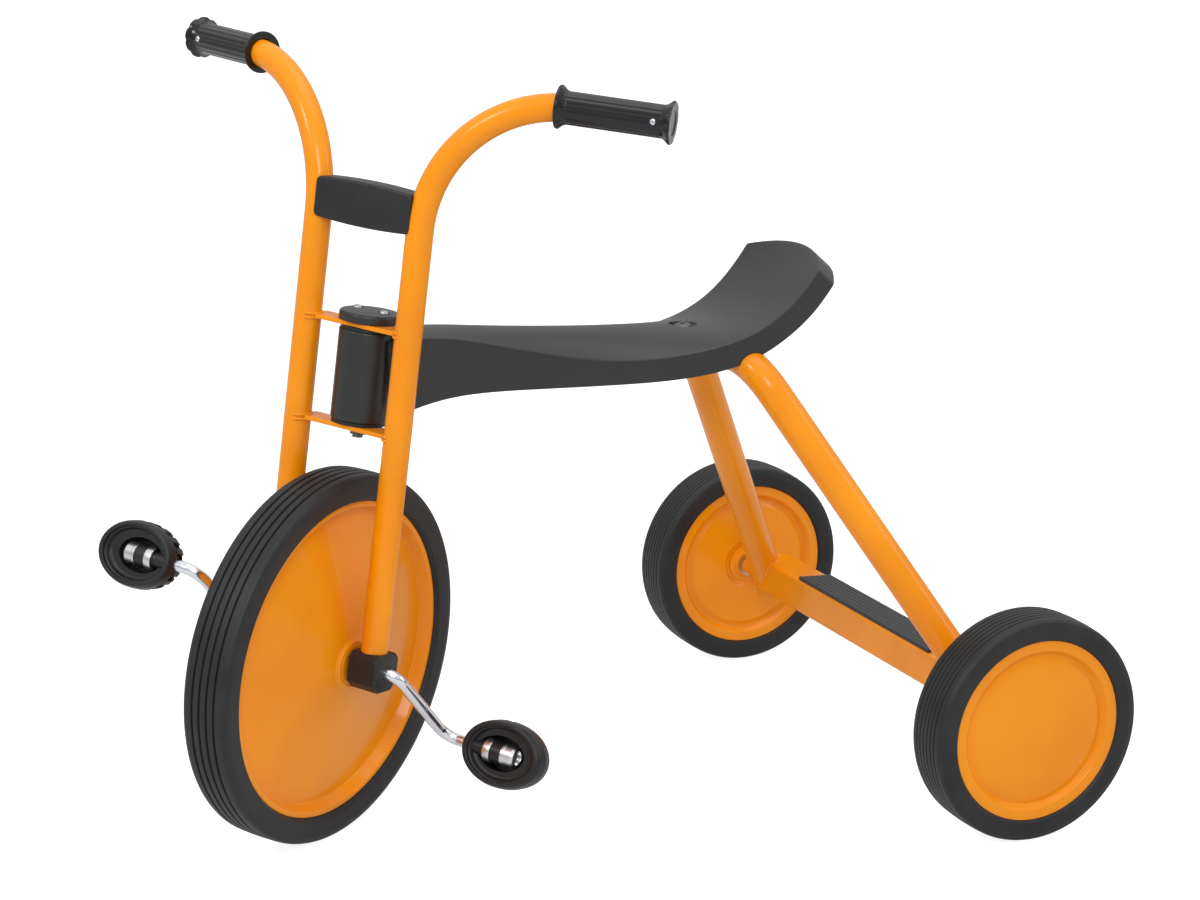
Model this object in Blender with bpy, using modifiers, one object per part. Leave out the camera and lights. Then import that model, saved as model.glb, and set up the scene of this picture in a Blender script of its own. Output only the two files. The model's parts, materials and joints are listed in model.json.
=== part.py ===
"""Child's pedal tricycle with a bent-tube fork and handlebar, a moulded beam seat,
a hooped steel rear frame with a standing step, and disc wheels with solid tyres.

Metres, +X forward, +Y to the rider's left, +Z up, ground at Z = 0.
The fork stands turned to the rider's left at rest, as a parked tricycle does.
"""
import bmesh
import bpy
import math
from mathutils import Matrix, Vector

# Overall layout
WHEELBASE = 0.598
REAR_AXLE_X = -0.3345
REAR_TRACK = 0.574
CASTER_DEG = 7.5
FORK_OFFSET = 0.018
STEER_REST_DEG = 32.8

# Gap between neighbouring solids that seat on each other
SEAT_GAP = 0.0003

# Front wheel
FRONT_TYRE_RADIUS = 0.178
FRONT_TYRE_WIDTH = 0.0494
FRONT_SIDEWALL = 0.0266
FRONT_RIM_RADIUS = FRONT_TYRE_RADIUS - FRONT_SIDEWALL
FRONT_RIM_RECESS = 0.0053
FRONT_DISH_DEPTH = 0.0110
FRONT_HUB_RADIUS = 0.0200
FRONT_SIDES = 32
FRONT_HUB_SIDES = 16
HUB_WASHER_SIDES = 14

# Rear wheels
REAR_TYRE_RADIUS = 0.110
REAR_TYRE_WIDTH = 0.0523
REAR_SIDEWALL = 0.0224
REAR_RIM_RADIUS = REAR_TYRE_RADIUS - REAR_SIDEWALL
REAR_RIM_RECESS = 0.0035
REAR_DISH_DEPTH = 0.0060
REAR_DOME_RISE = 0.0030
REAR_HUB_RADIUS = 0.0150
REAR_HUB_FLANGE_RADIUS = 0.0200
REAR_HUB_FLANGE_HEIGHT = 0.0060
REAR_HUB_SETBACK = 0.0110
REAR_SIDES = 24
REAR_HUB_SIDES = 20
BUSH_SIDES = 14
BUSH_WALL = 0.0020
BUSH_LIP = 0.0025
BUSH_FLANGE = 0.0015
BUSH_DEPTH = 0.0080

# Tyres
TYRE_SHOULDER = 0.0090
FRONT_GROOVE_COUNT = 4
REAR_GROOVE_COUNT = 2
TREAD_GROOVE_DEPTH = 0.0022
TREAD_GROOVE_WIDTH = 0.0030

# Pressed wheel discs
DISC_WALL = 0.0016
RIM_LIP = 0.0050
RIM_WALL_RUN = 0.0055
RIM_BARREL_DROP = 0.0048

# Fork and handlebar, one bent tube a side
FORK_TUBE_RADIUS = 0.0127
FORK_HALF_SPAN = 0.0566
HANDLEBAR_HEIGHT = 0.5382
HANDLEBAR_BEND_RADIUS = 0.128
HANDLEBAR_REACH = 0.2142
HANDLEBAR_SWEEP_DEG = 18.3

# Grips and the fixing screw in each
GRIP_LENGTH = 0.1045
GRIP_WALL = 0.0023
GRIP_RADIUS = FORK_TUBE_RADIUS + GRIP_WALL
GRIP_FLANGE = 0.0048
GRIP_LIP = 0.0022
GRIP_FLARE = 0.0064
GRIP_FLARE_RISE = 0.0014
GRIP_END_WALL = 0.0030
GRIP_SIDES = 20
GRIP_SCREW_INSET = 0.0157
GRIP_SCREW_RADIUS = 0.0028
GRIP_SCREW_SHANK = 0.0015
GRIP_SCREW_HEAD = 0.0016
GRIP_SCREW_SPOTFACE = 0.0008

# Steering head
HEAD_BELOW_TUBE = 0.0389
HEAD_LENGTH = 0.0842
HEAD_RADIUS = 0.0270
HEAD_SIDES = 24
HEAD_WALL = 0.0035
HEAD_BUSH_DEPTH = 0.0140
HEAD_BUSH_FLANGE = 0.0030
HEAD_BUSH_RIM = 0.0010
STEERING_BOLT_RADIUS = 0.0050
STEERING_BOLT_HEAD_RADIUS = 0.0095
STEERING_BOLT_HEAD_HEIGHT = 0.0040
STEERING_BOLT_STUB = 0.0030
STEERING_NUT_RADIUS = 0.0080
STEERING_NUT_HEIGHT = 0.0065
YOKE_THICKNESS = 0.0040
YOKE_DEPTH = 0.0260
YOKE_FRONT = 0.0240
YOKE_LOBE_RADIUS = 0.0150
YOKE_EASE = 0.0006
CAP_RADIUS = 0.0285
CAP_HEIGHT = 0.0085
CAP_DOME = 0.0020
CAP_EDGE = 0.0020
CAP_SCREW_RADIUS = 0.0042
CAP_SCREW_SPACING = 0.0300
CAP_SCREW_HEIGHT = 0.0030
CAP_SCREW_MARGIN = 0.0012
CAP_SCREW_SIDES = 12

# Fork pad between the tubes
PAD_HEIGHT = 0.0410
PAD_CENTRE_HEIGHT = 0.4250
PAD_END_INSET = 0.0044
PAD_FRONT = 0.0140
PAD_DEPTH = 0.0240
PAD_CROWN = 0.0040
PAD_ROUNDING = 0.0050
PAD_EASE = 0.0020

# Axle blocks at the fork ends
BLOCK_ACROSS = 0.0360
BLOCK_LENGTH = 0.0320
BLOCK_SOCKET_DEPTH = 0.0120
BLOCK_CHAMFER = 0.0030
HUB_WASHER_RADIUS = 0.0120
HUB_WASHER_THICKNESS = 0.0030
FRONT_HUB_LENGTH = 2 * (FORK_HALF_SPAN - BLOCK_LENGTH / 2 - HUB_WASHER_THICKNESS - 2 * SEAT_GAP)

# Screw heads: share of the radius that is flat on top
PAN_SHARE = 0.7

# Crank and pedals
CRANK_RADIUS = 0.0056
CRANK_THROW = 0.106
CRANK_CLEARANCE = 0.0119
CRANK_ARM_START = FORK_HALF_SPAN + BLOCK_LENGTH / 2 + CRANK_CLEARANCE
CRANK_SPLAY = 0.0100
CRANK_ARM_END = CRANK_ARM_START + CRANK_SPLAY
CRANK_BEND_RADIUS = 0.0100
CRANK_REST_DEG = -41.8
PEDAL_STANDOFF = 0.0415
PEDAL_INNER_FACE = CRANK_ARM_END + PEDAL_STANDOFF
PEDAL_LENGTH = 0.0560
PEDAL_RADIUS = 0.0330
PEDAL_TAPER = 0.0030
PEDAL_EDGE_RADIUS = PEDAL_RADIUS - PEDAL_TAPER
PEDAL_INNER_TAPER = 0.0050
PEDAL_INNER_RADIUS = PEDAL_RADIUS - PEDAL_INNER_TAPER
PEDAL_RIM = 0.0035
PEDAL_DISH_RADIUS = PEDAL_EDGE_RADIUS - PEDAL_RIM
PEDAL_EDGE_EASE = 0.0020
PEDAL_BARREL_START = 0.38
PEDAL_DISH_FLOOR = 0.0140
PEDAL_DISH_DEPTH = 0.0145
PEDAL_LUG_COUNT = 8
PEDAL_LUG_GAP = 0.0070
PEDAL_LUG_DEPTH = 0.0050
PEDAL_LUG_SHARE = 0.55
PEDAL_LUG_OVERRUN = 0.0020
PEDAL_NUT_RADIUS = 0.0105
PEDAL_NUT_HEIGHT = 0.0095
PEDAL_NUT_THREAD = 0.0045
PEDAL_NUT_CROWN = 0.0010
PEDAL_NUT_SHOULDER = 0.0035
PEDAL_NUT_FLANGE = 0.0030
PEDAL_COLLAR_RADIUS = 0.0105
PEDAL_COLLAR_LENGTH = 0.0040

# Rear frame
LEG_RADIUS = 0.0160
LEG_INSET = 0.067
LEG_HALF_SPAN = REAR_TRACK / 2 - LEG_INSET
HOOP_FORWARD = 0.176
HOOP_HALF_SPAN = 0.068
HOOP_CLEARANCE = 0.0705
HOOP_HEIGHT = 2 * FRONT_TYRE_RADIUS + HOOP_CLEARANCE
HOOP_BEND_RADIUS = 0.050
LEG_TAIL = 0.0200
MAIN_TUBE_RADIUS = 0.0160
MAIN_TUBE_RISE = 0.0105
MAIN_TUBE_HEIGHT = HOOP_HEIGHT + MAIN_TUBE_RISE
AXLE_RADIUS = 0.00635
SLEEVE_RADIUS = 0.0100
CROSSBAR_DEPTH = 0.0380
CROSSBAR_HEIGHT = 0.0350
CROSSBAR_WALL = 0.0025
CROSSBAR_EASE = 0.0030
CROSSBAR_BACK = 0.0060
CROSSBAR_RAISE = 0.0045
MAT_HALF_LENGTH = 0.122
MAT_THICKNESS = 0.0035
MAT_MARGIN = 0.0020
MAT_RIB_COUNT = 6
MAT_GROOVE = 0.0012
AXLE_WASHER_RADIUS = 0.0120
AXLE_WASHER_THICKNESS = 0.0015
AXLE_NUT_RADIUS = 0.0100
AXLE_NUT_HEIGHT = 0.0065
AXLE_END_STUB = 0.0010

# Seat: stations from the head back, as (share of the way from the hoop to the head,
# half width, then crown, edge and rim heights above the main tube's centre line, rim set back)
SEAT_STATIONS = (
    (0.9628, 0.0290, 0.0404, 0.0374, -0.0356, 0.0000),
    (0.8816, 0.0290, 0.0437, 0.0390, -0.0258, 0.0000),
    (0.7951, 0.0292, 0.0442, 0.0377, -0.0188, 0.0000),
    (0.6869, 0.0320, 0.0413, 0.0283, -0.0162, 0.0000),
    (0.5517, 0.0380, 0.0382, 0.0167, -0.0163, 0.0000),
    (0.3894, 0.0480, 0.0349, 0.0064, -0.0156, 0.0000),
    (0.2272, 0.0570, 0.0316, 0.0081, -0.0144, 0.0000),
    (0.0919, 0.0630, 0.0285, 0.0165, -0.0085, 0.0020),
    (0.0054, 0.0670, 0.0284, 0.0264, 0.0024, 0.0060),
    (-0.0703, 0.0700, 0.0375, 0.0415, 0.0195, 0.0090),
    (-0.1379, 0.0730, 0.0585, 0.0645, 0.0435, 0.0130),
)
SEAT_REAR_EDGE = (-0.2434, 0.0975)
SEAT_REAR_CORNER = (-0.1785, 0.0730, 0.0855)
SEAT_REAR_THICKNESS = 0.0240
SEAT_REAR_LEAN_DEG = 48.0
SEAT_CROWN_POWER = 2.2
SEAT_SIDE_DRAFT = 0.0020
SEAT_WALL = 0.0040
SEAT_CREASE = 0.55
SEAT_BOLT_SHARE = 0.1122
SEAT_BOLT_RADIUS = 0.0040
SEAT_BOLT_HEAD_RADIUS = 0.0085
SEAT_BOLT_HEAD_HEIGHT = 0.0030
SEAT_RECESS_RADIUS = 0.0130
SEAT_RECESS_DEPTH = 0.0040
SEAT_BOSS_RADIUS = 0.0160

# Colours: base colour, metallic, roughness
FINISHES = {
    "yellow_paint": ((1.0, 0.37, 0.015), 0.0, 0.30),
    "black_plastic": ((0.035, 0.036, 0.038), 0.0, 0.45),
    "seat_plastic": ((0.095, 0.095, 0.100), 0.0, 0.50),
    "black_rubber": ((0.030, 0.031, 0.033), 0.0, 0.70),
    "chrome": ((0.80, 0.80, 0.82), 1.0, 0.12),
    "steel": ((0.55, 0.55, 0.56), 1.0, 0.35),
    "nylon": ((0.75, 0.74, 0.70), 0.0, 0.50),
}

PARTS = "tricycle"
CUTTERS = "cutters"


# Scene set-up

def clear_scene():
    for item in list(bpy.data.objects):
        bpy.data.objects.remove(item, do_unlink=True)
    for name in (PARTS, CUTTERS):
        collection = bpy.data.collections.new(name)
        bpy.context.scene.collection.children.link(collection)
        collection.name = name


def finish(name):
    material = bpy.data.materials.get(name)
    if material:
        return material
    colour, metallic, roughness = FINISHES[name]
    material = bpy.data.materials.new(name)
    material.use_nodes = True
    shader = material.node_tree.nodes["Principled BSDF"]
    shader.inputs["Base Color"].default_value = (*colour, 1.0)
    shader.inputs["Metallic"].default_value = metallic
    shader.inputs["Roughness"].default_value = roughness
    return material


def place(name, data, parent=None, location=(0, 0, 0), rotation=(0, 0, 0), material=None):
    """Link one named object into the parts collection."""
    item = bpy.data.objects.new(name, data)
    item.parent = parent
    item.location = location
    item.rotation_euler = rotation
    bpy.data.collections[PARTS].objects.link(item)
    if material:
        data.materials.append(finish(material))
    return item


def empty(name, parent=None, location=(0, 0, 0), rotation=(0, 0, 0)):
    marker = place(name, None, parent, location, rotation)
    marker.empty_display_size = 0.03
    return marker


def smooth(mesh, angle=35.0):
    mesh.shade_smooth()
    mesh.set_sharp_from_angle(angle=math.radians(angle))


# Modelling tools

def clearing_radius(radius, sides, gap=SEAT_GAP):
    """Radius of a many-sided hole that a round piece clears by the gap."""
    return (radius + gap) / math.cos(math.pi / sides)


def cylinder_mesh(name, radius, length, sides, top_radius=None):
    """A cylinder or cone along Z, centred on its origin."""
    form = bmesh.new()
    bmesh.ops.create_cone(form, cap_ends=True, cap_tris=False, segments=sides, radius1=radius,
                          radius2=radius if top_radius is None else top_radius, depth=length)
    mesh = bpy.data.meshes.new(name)
    form.to_mesh(mesh)
    form.free()
    smooth(mesh)
    return mesh


def box_mesh(name, size):
    """A box centred on its origin."""
    form = bmesh.new()
    bmesh.ops.create_cube(form, size=1.0)
    bmesh.ops.scale(form, vec=Vector(size), verts=form.verts)
    mesh = bpy.data.meshes.new(name)
    form.to_mesh(mesh)
    form.free()
    return mesh


def hex_prism_mesh(name, radius, height):
    return cylinder_mesh(name, radius, height, 6)


def bevel(item, width, segments=1, angle=40.0):
    modifier = item.modifiers.new("bevel", "BEVEL")
    modifier.width = width
    modifier.segments = segments
    modifier.limit_method = "ANGLE"
    modifier.angle_limit = math.radians(angle)
    return modifier


def turned_mesh(name, profile, phase=0.0, closed=True):
    """The profile (radius, height) as edges, ready to be turned about Z."""
    mesh = bpy.data.meshes.new(name)
    points = [(radius * math.cos(phase), radius * math.sin(phase), height) for radius, height in profile]
    edges = [(index, index + 1) for index in range(len(points) - 1)]
    if closed:
        edges.append((len(points) - 1, 0))
    mesh.from_pydata(points, edges, [])
    return mesh


def turn(item, sides):
    modifier = item.modifiers.new("turn", "SCREW")
    modifier.axis = "Z"
    modifier.angle = math.tau
    modifier.steps = sides
    modifier.render_steps = sides
    modifier.use_merge_vertices = True
    modifier.merge_threshold = 0.00001
    modifier.use_smooth_shade = True
    return modifier


def outboard(side):
    """Rotation that lays a turned piece's Z axis along the axle, away from the centre."""
    return (-side * math.pi / 2, 0, 0)


def ring_profile(inner, outer, low, high):
    return [(outer, high), (outer, low), (inner, low), (inner, high)]


def cutter(name, mesh, parent=None, location=(0, 0, 0), rotation=(0, 0, 0)):
    item = bpy.data.objects.new(name, mesh)
    item.parent = parent
    item.location = location
    item.rotation_euler = rotation
    item.hide_render = True
    item.display_type = "WIRE"
    bpy.data.collections[CUTTERS].objects.link(item)
    return item


def boolean(item, tool, operation="DIFFERENCE"):
    modifier = item.modifiers.new(f"{operation.lower()} {tool.name}", "BOOLEAN")
    modifier.operation = operation
    modifier.solver = "EXACT"
    modifier.object = tool
    return modifier


def rounded_path(corners, radii, arc_steps):
    """Straight runs between the corners, joined by arcs of the given bend radii."""
    points = [corners[0].copy()]
    for before, corner, after, radius in zip(corners, corners[1:], corners[2:], radii):
        heading = (corner - before).normalized()
        leaving = (after - corner).normalized()
        turn_angle = heading.angle(leaving)
        centre = corner + (leaving - heading).normalized() * (radius / math.cos(turn_angle / 2))
        spoke = corner - heading * (radius * math.tan(turn_angle / 2)) - centre
        axis = heading.cross(leaving).normalized()
        for step in range(arc_steps + 1):
            swing = Matrix.Rotation(turn_angle * step / arc_steps, 3, axis)
            points.append(centre + swing @ spoke)
    points.append(corners[-1].copy())
    return points


def tube_curve(name, points, radius, sides):
    curve = bpy.data.curves.new(name, "CURVE")
    curve.dimensions = "3D"
    curve.bevel_depth = radius
    curve.bevel_resolution = sides // 2 - 2
    curve.use_fill_caps = True
    spline = curve.splines.new("POLY")
    spline.points.add(len(points) - 1)
    for slot, point in zip(spline.points, points):
        slot.co = (*point, 1.0)
    spline.use_smooth = True
    return curve


def tube(name, points, radius, sides, material, parent=None):
    return place(name, tube_curve(name, points, radius, sides), parent, material=material)


def tube_mesh(name, points, radius, sides):
    """A capped tube as a closed mesh, for pieces and cutters that a Boolean reads."""
    helper = bpy.data.objects.new(name, tube_curve(name, points, radius, sides))
    bpy.context.scene.collection.objects.link(helper)
    graph = bpy.context.evaluated_depsgraph_get()
    mesh = bpy.data.meshes.new_from_object(helper.evaluated_get(graph))
    bpy.data.objects.remove(helper, do_unlink=True)
    mesh.name = name
    form = bmesh.new()
    form.from_mesh(mesh)
    bmesh.ops.remove_doubles(form, verts=form.verts, dist=0.00001)
    form.to_mesh(mesh)
    form.free()
    smooth(mesh)
    return mesh


def sector_phase(sides):
    """Turn that puts a flat facet, not a corner, under the axle."""
    return math.pi / sides


# Wheels

def tyre_profile(radius, width, rim_radius, rim_recess, grooves):
    """Solid tyre section: flat grooved tread, rounded shoulders, sides falling to the rim."""
    half = width / 2
    seat_radius = rim_radius - RIM_BARREL_DROP + SEAT_GAP
    lip_side = half - rim_recess
    points = [(seat_radius, lip_side - 2 * DISC_WALL - SEAT_GAP)]
    points.append((rim_radius + SEAT_GAP, lip_side - DISC_WALL - SEAT_GAP))
    points.append((rim_radius + SEAT_GAP, lip_side))
    points.append((rim_radius + rim_recess, half))
    for step in range(3):
        lean = math.radians(45 * step)
        points.append((radius - TYRE_SHOULDER * (1 - math.sin(lean)),
                       half - TYRE_SHOULDER * (1 - math.cos(lean))))
    flat_width = width - 2 * TYRE_SHOULDER
    pitch = flat_width / grooves
    for groove in range(grooves):
        middle = flat_width / 2 - pitch * (groove + 0.5)
        points.append((radius, middle + TREAD_GROOVE_WIDTH / 2))
        points.append((radius - TREAD_GROOVE_DEPTH, middle))
        points.append((radius, middle - TREAD_GROOVE_WIDTH / 2))
    upper = [point for point in points if point[1] > 0 and point[0] < radius - TREAD_GROOVE_DEPTH * 1.01]
    for shoulder_radius, height in [(radius, flat_width / 2)] + upper[::-1]:
        points.append((shoulder_radius, -height))
    return points


def tyre(name, parent, profile, sides, phase):
    item = place(name, turned_mesh(name, profile, phase), parent, rotation=outboard(1),
                 material="black_rubber")
    turn(item, sides)
    return item


def front_tyre_profile():
    return tyre_profile(FRONT_TYRE_RADIUS, FRONT_TYRE_WIDTH, FRONT_RIM_RADIUS, FRONT_RIM_RECESS,
                        FRONT_GROOVE_COUNT)


def disc_rim_points(rim_radius, lip_height, dish_depth):
    """Lip, seat for the tyre and inner wall that both wheel sizes share."""
    barrel = rim_radius - RIM_BARREL_DROP
    floor_radius = rim_radius - RIM_LIP - RIM_WALL_RUN
    outside = [(rim_radius, lip_height), (rim_radius, lip_height - DISC_WALL),
               (barrel, lip_height - 2 * DISC_WALL), (barrel, SEAT_GAP / 2)]
    inside = [(barrel - DISC_WALL, SEAT_GAP / 2),
              (barrel - DISC_WALL, lip_height - dish_depth - DISC_WALL),
              (floor_radius, lip_height - dish_depth - DISC_WALL)]
    face = [(floor_radius, lip_height - dish_depth), (rim_radius - RIM_LIP, lip_height)]
    return outside, inside, face


def front_disc_profile():
    """Pressed half wheel: lip, steep wall, then a cone that rises to the hub."""
    lip_height = FRONT_TYRE_WIDTH / 2 - FRONT_RIM_RECESS
    outside, inside, face = disc_rim_points(FRONT_RIM_RADIUS, lip_height, FRONT_DISH_DEPTH)
    hub_bore = clearing_radius(FRONT_HUB_RADIUS, FRONT_SIDES)
    top = FRONT_HUB_LENGTH / 2 - 2 * SEAT_GAP
    collar = [(hub_bore, top - 2 * DISC_WALL), (hub_bore, top), (hub_bore + 2 * DISC_WALL, top)]
    return outside + inside + collar + face


def rear_disc_profile(hub_bore):
    """Pressed half wheel with a flat floor round the hub."""
    lip_height = REAR_TYRE_WIDTH / 2 - REAR_RIM_RECESS
    outside, inside, face = disc_rim_points(REAR_RIM_RADIUS, lip_height, REAR_DISH_DEPTH)
    floor = lip_height - REAR_DISH_DEPTH
    collar = [(hub_bore, floor - DISC_WALL), (hub_bore, floor)]
    return outside + inside + collar + face


def rear_cover_profile():
    """Pressed outer half wheel, closed and slightly domed over the axle end."""
    lip_height = REAR_TYRE_WIDTH / 2 - REAR_RIM_RECESS
    outside, inside, face = disc_rim_points(REAR_RIM_RADIUS, lip_height, REAR_DISH_DEPTH)
    floor = lip_height - REAR_DISH_DEPTH
    floor_radius = face[0][0]
    under = []
    over = []
    for step in (2, 1, 0):
        share = step / 3
        rise = REAR_DOME_RISE * (1 - share * share)
        under.append((floor_radius * share, floor + rise - DISC_WALL))
        over.append((floor_radius * share, floor + rise))
    return outside + inside + under + over[::-1] + face


def front_ground_phase():
    """Wheel turn, about the tilted axle, that puts a tyre facet on the ground."""
    caster = math.radians(CASTER_DEG)
    steer = math.radians(STEER_REST_DEG)
    lean = math.atan2(math.sin(caster) * math.cos(steer), math.cos(caster))
    return sector_phase(FRONT_SIDES) + lean


def front_wheel(hub):
    """Tyre, two pressed half wheels and the hub tube, all on the crank."""
    phase = front_ground_phase() - math.radians(CRANK_REST_DEG)
    tyre("front_tyre", hub, front_tyre_profile(), FRONT_SIDES, phase)
    for side, label in ((1, "left"), (-1, "right")):
        name = f"front_disc_{label}"
        disc = place(name, turned_mesh(name, front_disc_profile(), side * phase), hub,
                     rotation=outboard(side), material="yellow_paint")
        turn(disc, FRONT_SIDES)
    bore = clearing_radius(CRANK_RADIUS, FRONT_HUB_SIDES)
    body = ring_profile(bore, FRONT_HUB_RADIUS, -FRONT_HUB_LENGTH / 2, FRONT_HUB_LENGTH / 2)
    turn(place("front_hub", turned_mesh("front_hub", body), hub, rotation=outboard(1),
               material="yellow_paint"), FRONT_HUB_SIDES)


def front_washer(hub, side, label):
    """Thrust washer between the hub and the axle block."""
    bore = clearing_radius(CRANK_RADIUS, HUB_WASHER_SIDES)
    low = FRONT_HUB_LENGTH / 2 + SEAT_GAP
    profile = ring_profile(bore, HUB_WASHER_RADIUS, low, low + HUB_WASHER_THICKNESS)
    name = f"hub_washer_{label}"
    washer = place(name, turned_mesh(name, profile), hub, rotation=outboard(side), material="nylon")
    turn(washer, HUB_WASHER_SIDES)


def rear_wheel(side, label):
    """Tyre, inner and outer pressed halves, hub tube and its two bushes."""
    axle = empty(f"rear_wheel_{label}_axle", location=(REAR_AXLE_X, side * REAR_TRACK / 2, rear_axle_height()))
    phase = sector_phase(REAR_SIDES)
    profile = tyre_profile(REAR_TYRE_RADIUS, REAR_TYRE_WIDTH, REAR_RIM_RADIUS, REAR_RIM_RECESS,
                           REAR_GROOVE_COUNT)
    tyre(f"rear_tyre_{label}", axle, profile, REAR_SIDES, phase)
    name = f"rear_cover_{label}"
    cover = place(name, turned_mesh(name, rear_cover_profile(), phase), axle,
                  rotation=outboard(side), material="yellow_paint")
    turn(cover, REAR_SIDES)
    name = f"rear_disc_{label}"
    hub_hole = clearing_radius(REAR_HUB_RADIUS, REAR_SIDES)
    disc = place(name, turned_mesh(name, rear_disc_profile(hub_hole), phase), axle,
                 rotation=outboard(-side), material="yellow_paint")
    turn(disc, REAR_SIDES)
    name = f"rear_hub_{label}"
    hub = place(name, turned_mesh(name, rear_hub_profile()), axle, rotation=outboard(-side),
                material="yellow_paint")
    turn(hub, REAR_HUB_SIDES)
    rear_bushes(axle, side, label)


def rear_disc_floor():
    return REAR_TYRE_WIDTH / 2 - REAR_RIM_RECESS - REAR_DISH_DEPTH


def rear_hub_profile():
    """Hub tube with a flange that shows on the inner side, bored for the bushes."""
    bore = clearing_radius(clearing_radius(AXLE_RADIUS, 16) + BUSH_WALL, 16)
    face = rear_disc_floor() + SEAT_GAP
    top = face + REAR_HUB_FLANGE_HEIGHT
    low = -rear_disc_floor() + DISC_WALL + REAR_HUB_SETBACK
    return [(REAR_HUB_FLANGE_RADIUS, top), (REAR_HUB_FLANGE_RADIUS, face),
            (REAR_HUB_RADIUS, face), (REAR_HUB_RADIUS, low), (bore, low), (bore, top)]


def rear_bushes(axle, side, label):
    """A flanged nylon bush in each end of the hub."""
    bore = clearing_radius(AXLE_RADIUS, 16)
    outer = bore + BUSH_WALL
    flange_radius = outer + BUSH_LIP
    profile = rear_hub_profile()
    for place_name, face, inward in (("inner", profile[0][1], -1), ("outer", profile[3][1], 1)):
        seat = face - inward * SEAT_GAP
        points = [(flange_radius, seat - inward * BUSH_FLANGE), (flange_radius, seat), (outer, seat),
                  (outer, face + inward * BUSH_DEPTH), (bore, face + inward * BUSH_DEPTH),
                  (bore, seat - inward * BUSH_FLANGE)]
        if inward > 0:
            points = points[::-1]
        name = f"rear_bush_{place_name}_{label}"
        bush = place(name, turned_mesh(name, points), axle, rotation=outboard(-side), material="nylon")
        turn(bush, BUSH_SIDES)


def rear_axle_height():
    """Axle height that rests the rear tyres' lowest facets on the ground."""
    return REAR_TYRE_RADIUS * math.cos(math.pi / REAR_SIDES)


# Steering geometry

def pivot_point():
    """Point on the steering axis level with the front axle, with the turned tyre on the ground."""
    caster = math.radians(CASTER_DEG)
    steer = math.radians(STEER_REST_DEG)
    tilt = math.asin(math.sin(caster) * math.sin(steer))
    facet = math.cos(math.pi / FRONT_SIDES)
    drop = max(radius * facet * math.cos(tilt) + height * math.sin(tilt)
               for radius, height in front_tyre_profile())
    rise = FORK_OFFSET * math.sin(caster) * math.cos(steer)
    return Vector((REAR_AXLE_X + WHEELBASE - FORK_OFFSET * math.cos(caster), 0, drop - rise))


def head_lower_face():
    """Distance up the steering axis to the head tube's lower end, set by the main tube."""
    main_tube_place = (MAIN_TUBE_HEIGHT - pivot_point().z) / math.cos(math.radians(CASTER_DEG))
    return main_tube_place - HEAD_BELOW_TUBE


def head_upper_face():
    return head_lower_face() + HEAD_LENGTH


# Fork body

def fork_tube_points(side):
    foot = Vector((FORK_OFFSET, side * FORK_HALF_SPAN, fork_foot_height()))
    corner = Vector((FORK_OFFSET, side * FORK_HALF_SPAN, HANDLEBAR_HEIGHT))
    end = corner + handlebar_direction(side) * HANDLEBAR_REACH
    return rounded_path([foot, corner, end], [HANDLEBAR_BEND_RADIUS], 8)


def fork_foot_height():
    return BLOCK_ACROSS / 2 - BLOCK_SOCKET_DEPTH + SEAT_GAP


def fork_tube_centre(side, height):
    """Centre of a fork tube at a height within its straight part or its bend."""
    bend_start = HANDLEBAR_HEIGHT - HANDLEBAR_BEND_RADIUS
    rise = max(0.0, height - bend_start)
    run = HANDLEBAR_BEND_RADIUS - math.sqrt(HANDLEBAR_BEND_RADIUS ** 2 - rise ** 2)
    return Vector((FORK_OFFSET, side * FORK_HALF_SPAN, height)) + handlebar_direction(side) * run


def grip_profile():
    """Outer form along Z from the grip's inner face, flared at both ends, before it is bored."""
    wide = GRIP_RADIUS + GRIP_FLANGE
    risen = GRIP_RADIUS + GRIP_FLARE_RISE
    far = GRIP_LENGTH
    return [(0, far), (wide, far), (wide, far - GRIP_LIP), (risen, far - GRIP_FLARE),
            (GRIP_RADIUS, far - GRIP_FLARE - GRIP_LIP), (GRIP_RADIUS, GRIP_FLARE + GRIP_LIP),
            (risen, GRIP_FLARE), (wide, GRIP_LIP), (wide, 0), (0, 0)]


def handlebar_direction(side):
    sweep = math.radians(HANDLEBAR_SWEEP_DEG)
    return Vector((-math.sin(sweep), side * math.cos(sweep), 0))


def grip(steering, side, label):
    """Moulded grip with a flange at each end, pushed over the tube's end."""
    outward = handlebar_direction(side)
    end = fork_tube_points(side)[-1]
    start = end + outward * (GRIP_END_WALL + SEAT_GAP - GRIP_LENGTH)
    name = f"grip_{label}"
    item = place(name, turned_mesh(name, grip_profile(), closed=False), steering, location=start,
                 material="black_plastic")
    item.rotation_mode = "QUATERNION"
    item.rotation_quaternion = Vector((0, 0, 1)).rotation_difference(outward)
    turn(item, GRIP_SIDES)
    path = fork_tube_points(side)
    path[-1] = end + outward * SEAT_GAP
    bore = tube_mesh("bore", path, clearing_radius(FORK_TUBE_RADIUS, GRIP_SIDES), GRIP_SIDES)
    boolean(item, cutter(f"{name}_bore", bore, steering))
    grip_screw(steering, item, start + outward * (GRIP_LENGTH - GRIP_SCREW_INSET), side, label)


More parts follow.
